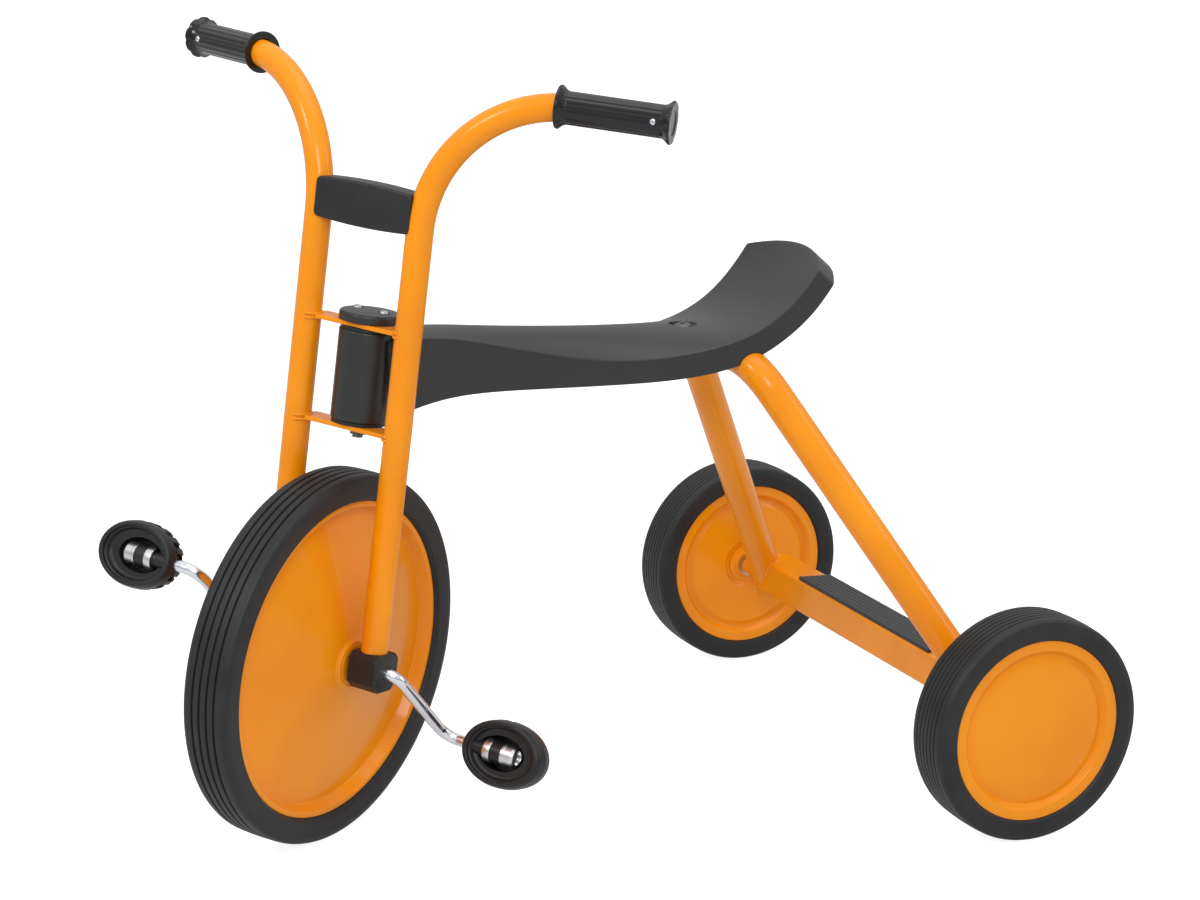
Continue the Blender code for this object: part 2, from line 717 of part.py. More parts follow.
def grip_screw(steering, body, centre, side, label):
    """Short screw in the front of the grip, its head in a shallow spotface."""
    outward = handlebar_direction(side)
    front = Vector((side * outward.y, -side * outward.x, 0))
    turned = Vector((0, 0, 1)).rotation_difference(front).to_euler()
    seat = GRIP_RADIUS - GRIP_SCREW_SPOTFACE
    spotface = cylinder_mesh("spotface", clearing_radius(GRIP_SCREW_RADIUS, CAP_SCREW_SIDES), GRIP_RADIUS,
                             CAP_SCREW_SIDES)
    boolean(body, cutter(f"grip_screw_spotface_{label}", spotface, steering,
                         centre + front * (seat + GRIP_RADIUS / 2), turned))
    hole = cylinder_mesh("hole", clearing_radius(GRIP_SCREW_SHANK, CAP_SCREW_SIDES), GRIP_RADIUS,
                         CAP_SCREW_SIDES)
    boolean(body, cutter(f"grip_screw_hole_{label}", hole, steering, centre + front * GRIP_RADIUS, turned))
    low = FORK_TUBE_RADIUS + 2 * SEAT_GAP
    head_low = seat + SEAT_GAP
    high = head_low + GRIP_SCREW_HEAD
    profile = [(0, high), (GRIP_SCREW_RADIUS * PAN_SHARE, high), (GRIP_SCREW_RADIUS, (head_low + high) / 2),
               (GRIP_SCREW_RADIUS, head_low), (GRIP_SCREW_SHANK, head_low), (GRIP_SCREW_SHANK, low), (0, low)]
    name = f"grip_screw_{label}"
    turn(place(name, turned_mesh(name, profile, closed=False), steering, centre, turned, "chrome"),
         CAP_SCREW_SIDES)


def yoke_heights():
    """Underside of the lower yoke plate and of the upper one, clear of the bush flanges."""
    running = HEAD_BUSH_FLANGE + 2 * SEAT_GAP
    return head_lower_face() - running - YOKE_THICKNESS, head_upper_face() + running


def yoke_plate(steering, name, underside):
    """Flat cross plate welded round both fork tubes, with a lobe for the steering bolt."""
    centre = (YOKE_FRONT - YOKE_DEPTH / 2, 0, underside + YOKE_THICKNESS / 2)
    size = (YOKE_DEPTH, 2 * FORK_HALF_SPAN - FORK_TUBE_RADIUS, YOKE_THICKNESS)
    item = place(name, box_mesh(name, size), steering, location=centre, material="yellow_paint")
    bevel(item, YOKE_EASE)
    lobe = cylinder_mesh("lobe", YOKE_LOBE_RADIUS, YOKE_THICKNESS, 20)
    boolean(item, cutter(f"{name}_lobe", lobe, steering, (0, 0, centre[2])), "UNION")
    for side, label in ((1, "left"), (-1, "right")):
        notch = tube_mesh("notch", fork_tube_points(side), clearing_radius(FORK_TUBE_RADIUS, 20), 20)
        boolean(item, cutter(f"{name}_{label}_notch", notch, steering))
    hole = cylinder_mesh("hole", clearing_radius(STEERING_BOLT_RADIUS, 16), 4 * YOKE_THICKNESS, 16)
    boolean(item, cutter(f"{name}_hole", hole, steering, (0, 0, centre[2])))
    return item


def steering_hardware(steering):
    """Bolt through both yokes, its nut below and the cap with two screws above."""
    lower, upper = yoke_heights()
    upper_top = upper + YOKE_THICKNESS
    nut_top = lower - SEAT_GAP
    nut_low = nut_top - STEERING_NUT_HEIGHT
    bolt_low = nut_low - STEERING_BOLT_STUB
    head_low = upper_top + SEAT_GAP
    head_high = head_low + STEERING_BOLT_HEAD_HEIGHT
    bolt = [(0, head_high), (STEERING_BOLT_HEAD_RADIUS, head_high), (STEERING_BOLT_HEAD_RADIUS, head_low),
            (STEERING_BOLT_RADIUS, head_low), (STEERING_BOLT_RADIUS, bolt_low), (0, bolt_low)]
    turn(place("steering_bolt", turned_mesh("steering_bolt", bolt, closed=False), steering,
               material="steel"), 16)
    nut = place("steering_nut", hex_prism_mesh("steering_nut", STEERING_NUT_RADIUS, STEERING_NUT_HEIGHT),
                steering, (0, 0, (nut_top + nut_low) / 2), material="steel")
    boolean(nut, cutter("steering_nut_bore",
                        cylinder_mesh("bore", clearing_radius(STEERING_BOLT_RADIUS, 16),
                                      2 * STEERING_NUT_HEIGHT, 16),
                        steering, nut.location))
    cap_low = upper_top + SEAT_GAP
    cap_high = cap_low + CAP_HEIGHT
    cavity = head_high + SEAT_GAP
    pocket = STEERING_BOLT_HEAD_RADIUS + 3 * SEAT_GAP
    cap = [(0, cap_high + CAP_DOME), (CAP_RADIUS * 0.5, cap_high + CAP_DOME * 0.75),
           (CAP_RADIUS - CAP_EDGE, cap_high), (CAP_RADIUS, cap_high - CAP_EDGE), (CAP_RADIUS, cap_low),
           (pocket, cap_low), (pocket, cavity), (0, cavity)]
    cover = place("steering_cap", turned_mesh("steering_cap", cap, closed=False), steering,
                  material="black_plastic")
    turn(cover, 24)
    for side, label in ((1, "left"), (-1, "right")):
        aside = side * CAP_SCREW_SPACING / 2
        spotface = cylinder_mesh("spotface", CAP_SCREW_RADIUS + CAP_SCREW_MARGIN, CAP_HEIGHT, CAP_SCREW_SIDES)
        boolean(cover, cutter(f"cap_spotface_{label}", spotface, steering,
                              (0, aside, cap_high + CAP_HEIGHT / 2)))
        screw = cylinder_mesh("cap_screw", CAP_SCREW_RADIUS, CAP_SCREW_HEIGHT, CAP_SCREW_SIDES,
                              CAP_SCREW_RADIUS * PAN_SHARE)
        place(f"cap_screw_{label}", screw, steering,
              (0, aside, cap_high + SEAT_GAP + CAP_SCREW_HEIGHT / 2), material="steel")


def fork_pad(steering):
    """Moulded pad clipped between the fork tubes, its ends hugging their front halves."""
    middle = fork_tube_centre(1, PAD_CENTRE_HEIGHT)
    outline = pad_outline(middle.y - PAD_END_INSET)
    curve = bpy.data.curves.new("fork_pad_outline", "CURVE")
    curve.dimensions = "2D"
    curve.fill_mode = "BOTH"
    curve.extrude = PAD_DEPTH / 2
    spline = curve.splines.new("POLY")
    spline.points.add(len(outline) - 1)
    for slot, point in zip(spline.points, outline):
        slot.co = (point[0], point[1], 0, 1)
    spline.use_cyclic_u = True
    helper = bpy.data.objects.new("fork_pad_outline", curve)
    bpy.context.scene.collection.objects.link(helper)
    graph = bpy.context.evaluated_depsgraph_get()
    mesh = bpy.data.meshes.new_from_object(helper.evaluated_get(graph))
    bpy.data.objects.remove(helper, do_unlink=True)
    mesh.name = "fork_pad"
    form = bmesh.new()
    form.from_mesh(mesh)
    bmesh.ops.remove_doubles(form, verts=form.verts, dist=0.00001)
    form.to_mesh(mesh)
    form.free()
    centre = (middle.x + PAD_FRONT - PAD_DEPTH / 2, 0, PAD_CENTRE_HEIGHT)
    item = place("fork_pad", mesh, steering, centre, (math.pi / 2, 0, math.pi / 2), "black_plastic")
    bevel(item, PAD_EASE, 2, 50)
    for side, label in ((1, "left"), (-1, "right")):
        groove = tube_mesh("groove", fork_tube_points(side), clearing_radius(FORK_TUBE_RADIUS, 20), 20)
        boolean(item, cutter(f"pad_{label}_groove", groove, steering))


def pad_outline(half_length):
    """Front outline: rounded corners, top and bottom edges gently arched."""
    points = []
    half = PAD_HEIGHT / 2 - PAD_CROWN / 2
    for sign in (1, -1):
        for step in range(7):
            share = -1 + 2 * step / 6
            reach = half_length - PAD_ROUNDING
            points.append((-sign * share * reach, sign * (half + PAD_CROWN * 0.5 * (1 - share * share))))
        for step in (1, 2):
            lean = math.radians(30 * step)
            points.append((-sign * (half_length - PAD_ROUNDING + PAD_ROUNDING * math.sin(lean)),
                           sign * (half - PAD_ROUNDING * (1 - math.cos(lean)))))
        for step in (0, 1):
            lean = math.radians(30 * step)
            points.append((-sign * (half_length - PAD_ROUNDING + PAD_ROUNDING * math.cos(lean)),
                           -sign * (half - PAD_ROUNDING * (1 - math.sin(lean)))))
        lean = math.radians(60)
        points.append((-sign * (half_length - PAD_ROUNDING + PAD_ROUNDING * math.cos(lean)),
                       -sign * (half - PAD_ROUNDING * (1 - math.sin(lean)))))
    return points


def axle_block(steering, side, label):
    """Octagonal moulded bearing block: tube socket above, axle bore across."""
    name = f"axle_block_{label}"
    across = BLOCK_ACROSS / math.cos(math.pi / 8) / 2
    item = place(name, cylinder_mesh(name, across, BLOCK_LENGTH, 8), steering,
                 (FORK_OFFSET, side * FORK_HALF_SPAN, 0), (math.pi / 2, math.pi / 8, 0), "black_plastic")
    bevel(item, BLOCK_CHAMFER, 2, 60)
    socket = cutter(f"{name}_socket",
                    cylinder_mesh("socket", clearing_radius(FORK_TUBE_RADIUS, 20), BLOCK_ACROSS, 20),
                    steering, (FORK_OFFSET, side * FORK_HALF_SPAN,
                               fork_foot_height() - SEAT_GAP + BLOCK_ACROSS / 2))
    boolean(item, socket)
    bore = cutter(f"{name}_bore",
                  cylinder_mesh("bore", clearing_radius(CRANK_RADIUS, 16), 2 * BLOCK_LENGTH, 16),
                  steering, (FORK_OFFSET, side * FORK_HALF_SPAN, 0), (math.pi / 2, 0, 0))
    boolean(item, bore)


# Crank and pedals

def crank(hub):
    """One bent rod: left spindle, arm, axle through the hub, arm and right spindle."""
    reach = PEDAL_INNER_FACE + PEDAL_LENGTH - PEDAL_DISH_DEPTH + PEDAL_NUT_THREAD
    corners = [Vector((-CRANK_THROW, reach, 0)), Vector((-CRANK_THROW, CRANK_ARM_END, 0)),
               Vector((0, CRANK_ARM_START, 0)), Vector((0, -CRANK_ARM_START, 0)),
               Vector((CRANK_THROW, -CRANK_ARM_END, 0)), Vector((CRANK_THROW, -reach, 0))]
    tube("crank", rounded_path(corners, [CRANK_BEND_RADIUS] * 4, 3), CRANK_RADIUS, 12, "chrome", hub)


def pedal_profile():
    """Barrel along Z from its inner face, narrower at both ends, with a funnel dish outside."""
    bore = clearing_radius(CRANK_RADIUS, 16)
    length = PEDAL_LENGTH
    return [(bore, length - PEDAL_DISH_DEPTH), (PEDAL_DISH_FLOOR, length - PEDAL_DISH_DEPTH),
            (PEDAL_DISH_RADIUS, length), (PEDAL_EDGE_RADIUS - PEDAL_EDGE_EASE * 0.75, length),
            (PEDAL_EDGE_RADIUS, length - PEDAL_EDGE_EASE), (PEDAL_RADIUS, length * (1 - PEDAL_BARREL_START)),
            (PEDAL_RADIUS, length * PEDAL_BARREL_START), (PEDAL_INNER_RADIUS, 0), (bore, 0)]


def pedal(hub, side, label):
    """Barrel pedal with tread lugs at its inner end, turning on the crank's spindle."""
    spindle = empty(f"pedal_{label}_spindle", hub, (-side * CRANK_THROW, side * PEDAL_INNER_FACE, 0))
    name = f"pedal_{label}"
    body = place(name, turned_mesh(name, pedal_profile()), spindle, rotation=outboard(side),
                 material="black_plastic")
    turn(body, 24)
    tools = bmesh.new()
    lug_length = PEDAL_LENGTH * PEDAL_LUG_SHARE
    for index in range(PEDAL_LUG_COUNT):
        swing = Matrix.Rotation(math.tau * (index + 0.5) / PEDAL_LUG_COUNT, 4, "Z")
        shift = Matrix.Translation((PEDAL_RADIUS, 0, lug_length / 2 - PEDAL_LUG_OVERRUN))
        slot = Matrix.Diagonal((2 * PEDAL_LUG_DEPTH, PEDAL_LUG_GAP, lug_length + 2 * PEDAL_LUG_OVERRUN, 1))
        bmesh.ops.create_cube(tools, size=1.0, matrix=swing @ shift @ slot)
    mesh = bpy.data.meshes.new(f"{name}_lug_gaps")
    tools.to_mesh(mesh)
    tools.free()
    boolean(body, cutter(f"{name}_lug_gaps", mesh, spindle, rotation=outboard(side)))
    pedal_fixings(hub, side, label)


def pedal_fixings(hub, side, label):
    """Cap nut in the pedal's dish and stop collar at its inner face, both fast on the crank."""
    spot = (-side * CRANK_THROW, side * PEDAL_INNER_FACE, 0)
    low = PEDAL_LENGTH - PEDAL_DISH_DEPTH + SEAT_GAP
    high = low + PEDAL_NUT_HEIGHT
    bore = clearing_radius(CRANK_RADIUS, 16)
    depth = low + PEDAL_NUT_THREAD
    nut = [(0, high), (PEDAL_NUT_RADIUS * 0.55, high - PEDAL_NUT_CROWN),
           (PEDAL_NUT_RADIUS * 0.9, high - PEDAL_NUT_SHOULDER), (PEDAL_NUT_RADIUS, low + PEDAL_NUT_FLANGE),
           (PEDAL_NUT_RADIUS, low), (bore, low), (bore, depth), (0, depth)]
    turn(place(f"pedal_nut_{label}", turned_mesh("pedal_nut", nut, closed=False), hub, spot,
               outboard(side), "chrome"), 16)
    collar = ring_profile(bore, PEDAL_COLLAR_RADIUS, -SEAT_GAP - PEDAL_COLLAR_LENGTH, -SEAT_GAP)
    turn(place(f"pedal_collar_{label}", turned_mesh("pedal_collar", collar), hub, spot,
               outboard(side), "chrome"), 16)


# Frame body

def head_parts(head_axis):
    """Head tube with a flanged nylon bush in each end."""
    low = head_lower_face()
    high = head_upper_face()
    bush_outer = HEAD_RADIUS - HEAD_WALL
    turn(place("head_tube", turned_mesh("head_tube", ring_profile(bush_outer, HEAD_RADIUS, low, high)),
               head_axis, material="black_plastic"), HEAD_SIDES)
    outer = (bush_outer - SEAT_GAP) * math.cos(math.pi / HEAD_SIDES)
    bore = clearing_radius(STEERING_BOLT_RADIUS, 16)
    rim = HEAD_RADIUS - HEAD_BUSH_RIM
    for label, face, inward in (("upper", high, -1), ("lower", low, 1)):
        seat = face - inward * SEAT_GAP
        outside = face - inward * (SEAT_GAP + HEAD_BUSH_FLANGE)
        depth = face + inward * HEAD_BUSH_DEPTH
        profile = [(rim, outside), (rim, seat), (outer, seat), (outer, depth), (bore, depth), (bore, outside)]
        if inward > 0:
            profile = profile[::-1]
        name = f"head_bush_{label}"
        turn(place(name, turned_mesh(name, profile), head_axis, material="black_plastic"), HEAD_SIDES)


def hoop_corner(side):
    return Vector((REAR_AXLE_X + HOOP_FORWARD, side * HOOP_HALF_SPAN, HOOP_HEIGHT))


def leg_foot(side):
    """Leg centre line where it crosses the rear axle."""
    return Vector((REAR_AXLE_X, side * LEG_HALF_SPAN, rear_axle_height()))


def leg_end(side):
    foot = leg_foot(side)
    return foot + (foot - hoop_corner(side)).normalized() * LEG_TAIL


def hoop_points():
    corners = [leg_end(1), hoop_corner(1), hoop_corner(-1), leg_end(-1)]
    return rounded_path(corners, [HOOP_BEND_RADIUS] * 2, 5)


def sleeve_half_length():
    return REAR_TRACK / 2 - rear_hub_profile()[0][1] - BUSH_FLANGE - AXLE_WASHER_THICKNESS - 3 * SEAT_GAP


def rear_frame():
    """Bent hoop that forms both legs, the axle sleeve through their feet and the crossbar."""
    axle_centre = (REAR_AXLE_X, 0, rear_axle_height())
    hoop = place("rear_hoop", tube_mesh("rear_hoop", hoop_points(), LEG_RADIUS, 14), material="yellow_paint")
    boolean(hoop, cutter("hoop_sleeve_hole",
                         cylinder_mesh("hole", clearing_radius(SLEEVE_RADIUS, 20), 2 * REAR_TRACK, 20),
                         None, axle_centre, (math.pi / 2, 0, 0)))
    sleeve_bore = clearing_radius(AXLE_RADIUS, 16)
    half = sleeve_half_length()
    sleeve = ring_profile(sleeve_bore, SLEEVE_RADIUS, -half, half)
    turn(place("axle_sleeve", turned_mesh("axle_sleeve", sleeve), None, axle_centre, outboard(1),
               "yellow_paint"), 20)
    crossbar()
    rear_axle_set(axle_centre)


def crossbar_centre():
    return Vector((REAR_AXLE_X - CROSSBAR_BACK, 0, rear_axle_height() + CROSSBAR_RAISE))


def crossbar():
    """Rectangular tube between the legs, its ends coped to them."""
    length = 2 * LEG_HALF_SPAN
    centre = crossbar_centre()
    item = place("crossbar", box_mesh("crossbar", (CROSSBAR_DEPTH, length, CROSSBAR_HEIGHT)), None, centre,
                 material="yellow_paint")
    bevel(item, CROSSBAR_EASE, 2)
    inner = (CROSSBAR_DEPTH - 2 * CROSSBAR_WALL, 2 * length, CROSSBAR_HEIGHT - 2 * CROSSBAR_WALL)
    boolean(item, cutter("crossbar_hollow", box_mesh("hollow", inner), None, centre))
    block = 16 * LEG_RADIUS
    for side, label in ((1, "left"), (-1, "right")):
        foot = leg_foot(side)
        rake = (hoop_corner(side) - foot).normalized()
        aside = (Vector((0, side, 0)) - rake * rake.y * side).normalized()
        near = foot + rake * LEG_RADIUS - aside * (LEG_RADIUS + SEAT_GAP)
        turned = Vector((0, side, 0)).rotation_difference(aside).to_euler()
        boolean(item, cutter(f"crossbar_{label}_trim", box_mesh("trim", (block, block, block)), None,
                             near + aside * block / 2, turned))


def mat_outline():
    """End view of the ribbed mat: (back to front, up), ribs running along the step."""
    width = CROSSBAR_DEPTH - 2 * MAT_MARGIN
    pitch = width / MAT_RIB_COUNT
    top = MAT_THICKNESS
    points = [(-width / 2, 0), (width / 2, 0)]
    for rib in range(MAT_RIB_COUNT):
        edge = width / 2 - rib * pitch
        points.append((edge, top))
        points.append((edge - pitch * 0.75, top))
        if rib < MAT_RIB_COUNT - 1:
            points.append((edge - pitch * 0.80, top - MAT_GROOVE))
            points.append((edge - pitch * 0.95, top - MAT_GROOVE))
    points[-1] = (-width / 2, top)
    return points


def step_mat():
    """Ribbed rubber mat on top of the crossbar."""
    outline = mat_outline()
    form = bmesh.new()
    ring = [form.verts.new((x, -MAT_HALF_LENGTH, z)) for x, z in outline]
    face = form.faces.new(ring)
    pushed = bmesh.ops.extrude_face_region(form, geom=[face])
    moved = [entry for entry in pushed["geom"] if isinstance(entry, bmesh.types.BMVert)]
    bmesh.ops.translate(form, verts=moved, vec=(0, 2 * MAT_HALF_LENGTH, 0))
    bmesh.ops.recalc_face_normals(form, faces=form.faces)
    mesh = bpy.data.meshes.new("step_mat")
    form.to_mesh(mesh)
    form.free()
    seat = crossbar_centre() + Vector((0, 0, CROSSBAR_HEIGHT / 2 + SEAT_GAP))
    place("step_mat", mesh, None, seat, material="black_rubber")


def rear_axle_set(axle_centre):
    """Axle rod, thrust washers against the hub bushes and lock nuts hidden under the covers."""
    outer_stop = REAR_TRACK / 2 - (rear_hub_profile()[3][1] - SEAT_GAP - BUSH_FLANGE) + SEAT_GAP
    inner_stop = sleeve_half_length() + SEAT_GAP
    nut_low = outer_stop + AXLE_WASHER_THICKNESS + SEAT_GAP
    half = nut_low + AXLE_NUT_HEIGHT + AXLE_END_STUB
    rod = [(0, half), (AXLE_RADIUS, half), (AXLE_RADIUS, -half), (0, -half)]
    turn(place("rear_axle", turned_mesh("rear_axle", rod, closed=False), None, axle_centre, outboard(1),
               "steel"), 16)
    bore = clearing_radius(AXLE_RADIUS, 16)
    for side, label in ((1, "left"), (-1, "right")):
        for spot, low in (("outer", outer_stop), ("inner", inner_stop)):
            name = f"rear_washer_{spot}_{label}"
            ring = ring_profile(bore, AXLE_WASHER_RADIUS, low, low + AXLE_WASHER_THICKNESS)
            turn(place(name, turned_mesh(name, ring), None, axle_centre, outboard(side), "steel"), 16)
        name = f"rear_axle_nut_{label}"
        middle = nut_low + AXLE_NUT_HEIGHT / 2
        centre = (axle_centre[0], side * middle, axle_centre[2])
        nut = place(name, hex_prism_mesh(name, AXLE_NUT_RADIUS, AXLE_NUT_HEIGHT), None, centre,
                    outboard(side), "steel")
        boolean(nut, cutter(f"{name}_bore", cylinder_mesh("bore", bore, 2 * AXLE_NUT_HEIGHT, 16), None,
                            centre, outboard(side)))


def main_tube_ends():
    """Centre line from the head tube's axis back to the hoop's top run."""
    start = pivot_point()
    caster = math.radians(CASTER_DEG)
    up = Vector((-math.sin(caster), 0, math.cos(caster)))
    front = start + up * ((MAIN_TUBE_HEIGHT - start.z) / up.z)
    back = Vector((REAR_AXLE_X + HOOP_FORWARD, 0, HOOP_HEIGHT))
    return front, back


def main_tube(head_axis):
    """Steel tube hidden in the seat moulding, coped to the head tube and the hoop."""
    front, back = main_tube_ends()
    item = place("main_tube", tube_mesh("main_tube", [front, back], MAIN_TUBE_RADIUS, 16),
                 material="yellow_paint")
    boolean(item, cutter("main_tube_head_coping",
                         cylinder_mesh("coping", clearing_radius(HEAD_RADIUS, 32), 4 * HEAD_LENGTH, 32),
                         head_axis, (0, 0, head_lower_face() + HEAD_LENGTH / 2)))
    boolean(item, cutter("main_tube_hoop_coping",
                         cylinder_mesh("coping", clearing_radius(LEG_RADIUS, 24), HOOP_HALF_SPAN, 24),
                         None, back, (math.pi / 2, 0, 0)))


# Seat moulding

def tube_line_point(share):
    """Place on the main tube's centre line, level with the hoop behind it."""
    front, back = main_tube_ends()
    rise = (front.z - back.z) * max(0.0, share)
    return Vector((back.x + (front.x - back.x) * share, 0, back.z + rise))


def seat_section(half_width, crown, edge, rim, centre_x, edge_x, rim_x):
    """Half section: crown centre, one point on the crowned top, edge, mid side and rim."""
    points = []
    for share in (0.0, 0.58, 1.0):
        fall = share ** SEAT_CROWN_POWER
        height = crown + (edge - crown) * fall
        points.append((centre_x + (edge_x - centre_x) * fall, half_width * share, height))
    points.append(((edge_x + rim_x) / 2, half_width - SEAT_SIDE_DRAFT * 0.3, (edge + rim) / 2))
    points.append((rim_x, half_width - SEAT_SIDE_DRAFT, rim))
    return points


def seat_cage():
    """Left half of the seat's outer skin, open below and at the head."""
    rows = []
    for share, half_width, crown, edge, rim, set_back in SEAT_STATIONS:
        x, y, z = tube_line_point(share)
        rows.append(seat_section(half_width, z + crown, z + edge, z + rim, x, x, x - set_back))
    lean = math.radians(SEAT_REAR_LEAN_DEG)
    down = Vector((-math.sin(lean), 0, -math.cos(lean))) * SEAT_REAR_THICKNESS
    rear = tube_line_point(SEAT_REAR_EDGE[0])
    corner = tube_line_point(SEAT_REAR_CORNER[0])
    corner_z = corner.z + SEAT_REAR_CORNER[2]
    rows.append(seat_section(SEAT_REAR_CORNER[1], rear.z + SEAT_REAR_EDGE[1], corner_z, corner_z + down.z,
                             rear.x, corner.x, corner.x + down.x))
    form = bmesh.new()
    grid = [[form.verts.new(point) for point in row] for row in rows]
    for row, following in zip(grid, grid[1:]):
        for column in range(len(row) - 1):
            form.faces.new((row[column], row[column + 1], following[column + 1], following[column]))
    last = grid[-1]
    middle = [form.verts.new(Vector(last[column].co) + down * 0.5) for column in range(2)] + [last[3]]
    lowest = [form.verts.new(Vector(last[column].co) + down) for column in range(2)] + [last[4]]
    top = last[:3]
    for upper, lower in ((top, middle), (middle, lowest)):
        for column in range(2):
            form.faces.new((upper[column], upper[column + 1], lower[column + 1], lower[column]))
    crease = form.edges.layers.float.new("crease_edge")
    for row, following in zip(grid, grid[1:]):
        edge = form.edges.get((row[2], following[2]))
        edge[crease] = SEAT_CREASE
    bmesh.ops.recalc_face_normals(form, faces=form.faces)
    mesh = bpy.data.meshes.new("seat")
    form.to_mesh(mesh)
    form.free()
    return mesh


def seat_crown_at_bolt():
    """Point on the seat's crown at the bolt, between its two nearest stations."""
    point = tube_line_point(SEAT_BOLT_SHARE)
    for ahead, behind in zip(SEAT_STATIONS, SEAT_STATIONS[1:]):
        if behind[0] <= SEAT_BOLT_SHARE <= ahead[0]:
            share = (SEAT_BOLT_SHARE - behind[0]) / (ahead[0] - behind[0])
            point.z += behind[2] + (ahead[2] - behind[2]) * share
    return point


def seat(head_axis):
    """Beam and saddle in one moulding: a shell over the main tube, with a bolt boss."""
    item = place("seat", seat_cage(), material="seat_plastic")
    mirror = item.modifiers.new("mirror", "MIRROR")
    mirror.use_axis = (False, True, False)
    mirror.merge_threshold = 0.0001
    mirror.use_clip = True
    soften = item.modifiers.new("soften", "SUBSURF")
    soften.levels = 1
    soften.render_levels = 1
    shell = item.modifiers.new("wall", "SOLIDIFY")
    shell.thickness = SEAT_WALL
    shell.offset = -1
    shell.use_even_offset = True
    front, back = main_tube_ends()
    bolt_x, bolt_y, crown = seat_crown_at_bolt()
    boss_high = crown - SEAT_WALL * 0.5
    boss_low = HOOP_HEIGHT
    boss = cutter("seat_boss", cylinder_mesh("boss", SEAT_BOSS_RADIUS, boss_high - boss_low, 20), None,
                  (bolt_x, bolt_y, (boss_high + boss_low) / 2))
    boolean(item, boss, "UNION")
    boolean(item, cutter("seat_head_coping",
                         cylinder_mesh("coping", clearing_radius(HEAD_RADIUS, 32), 4 * HEAD_LENGTH, 32),
                         head_axis, (0, 0, head_lower_face() + HEAD_LENGTH / 2)))
    boolean(item, cutter("seat_tube_channel",
                         tube_mesh("channel", [front, back], clearing_radius(MAIN_TUBE_RADIUS, 24), 24)))
    boolean(item, cutter("seat_hoop_channel",
                         tube_mesh("channel", hoop_points(), clearing_radius(LEG_RADIUS, 20), 20)))
    recess_floor = crown - SEAT_RECESS_DEPTH
    boolean(item, cutter("seat_recess",
                         cylinder_mesh("recess", SEAT_RECESS_RADIUS, SEAT_RECESS_RADIUS, 20), None,
                         (bolt_x, bolt_y, recess_floor + SEAT_RECESS_RADIUS / 2)))
    boolean(item, cutter("seat_bolt_hole",
                         cylinder_mesh("hole", clearing_radius(SEAT_BOLT_RADIUS, 16), 4 * SEAT_BOSS_RADIUS, 16),
                         None, (bolt_x, bolt_y, crown)))
    smooth(item.data, 60)
    seat_bolt(bolt_x, recess_floor)


def seat_bolt(bolt_x, recess_floor):
    """Button-head bolt from the seat's recess down to the main tube."""
    tube_top = tube_line_point(SEAT_BOLT_SHARE).z + MAIN_TUBE_RADIUS
    head_low = recess_floor + SEAT_GAP
    head_high = head_low + SEAT_BOLT_HEAD_HEIGHT
    profile = [(0, head_high), (SEAT_BOLT_HEAD_RADIUS * 0.6, head_high - SEAT_BOLT_HEAD_HEIGHT * 0.1),
               (SEAT_BOLT_HEAD_RADIUS, head_high - SEAT_BOLT_HEAD_HEIGHT * 0.6),
               (SEAT_BOLT_HEAD_RADIUS, head_low),
               (SEAT_BOLT_RADIUS, head_low), (SEAT_BOLT_RADIUS, tube_top + SEAT_GAP),
               (0, tube_top + SEAT_GAP)]
    turn(place("seat_bolt", turned_mesh("seat_bolt", profile, closed=False), None, (bolt_x, 0, 0),
               material="steel"), 16)


# Assembly

def build():
    clear_scene()
    caster = math.radians(CASTER_DEG)
    head_axis = empty("head_axis", None, pivot_point(), (0, -caster, 0))
    steering = empty("steering", head_axis, (0, 0, 0), (0, 0, math.radians(STEER_REST_DEG)))
    hub = empty("front_axle", steering, (FORK_OFFSET, 0, 0), (0, math.radians(CRANK_REST_DEG), 0))

    head_parts(head_axis)
    main_tube(head_axis)
    rear_frame()
    step_mat()
    seat(head_axis)

    for side, label in ((1, "left"), (-1, "right")):
        tube(f"fork_tube_{label}", fork_tube_points(side), FORK_TUBE_RADIUS, 16, "yellow_paint", steering)
        grip(steering, side, label)
        axle_block(steering, side, label)
        rear_wheel(side, label)
        pedal(hub, side, label)
        front_washer(hub, side, label)
    lower, upper = yoke_heights()
    yoke_plate(steering, "lower_yoke", lower)
    yoke_plate(steering, "upper_yoke", upper)
    steering_hardware(steering)
    fork_pad(steering)

    front_wheel(hub)
    crank(hub)


build()
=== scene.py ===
"""Looks of a child's pedal tricycle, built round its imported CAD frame.

Metres, in the frame's own axes: +X forward, +Y to the rider's left, +Z up, ground at Z = 0.
"""

import bmesh
import bpy
import json
import math
from mathutils import Matrix, Quaternion, Vector


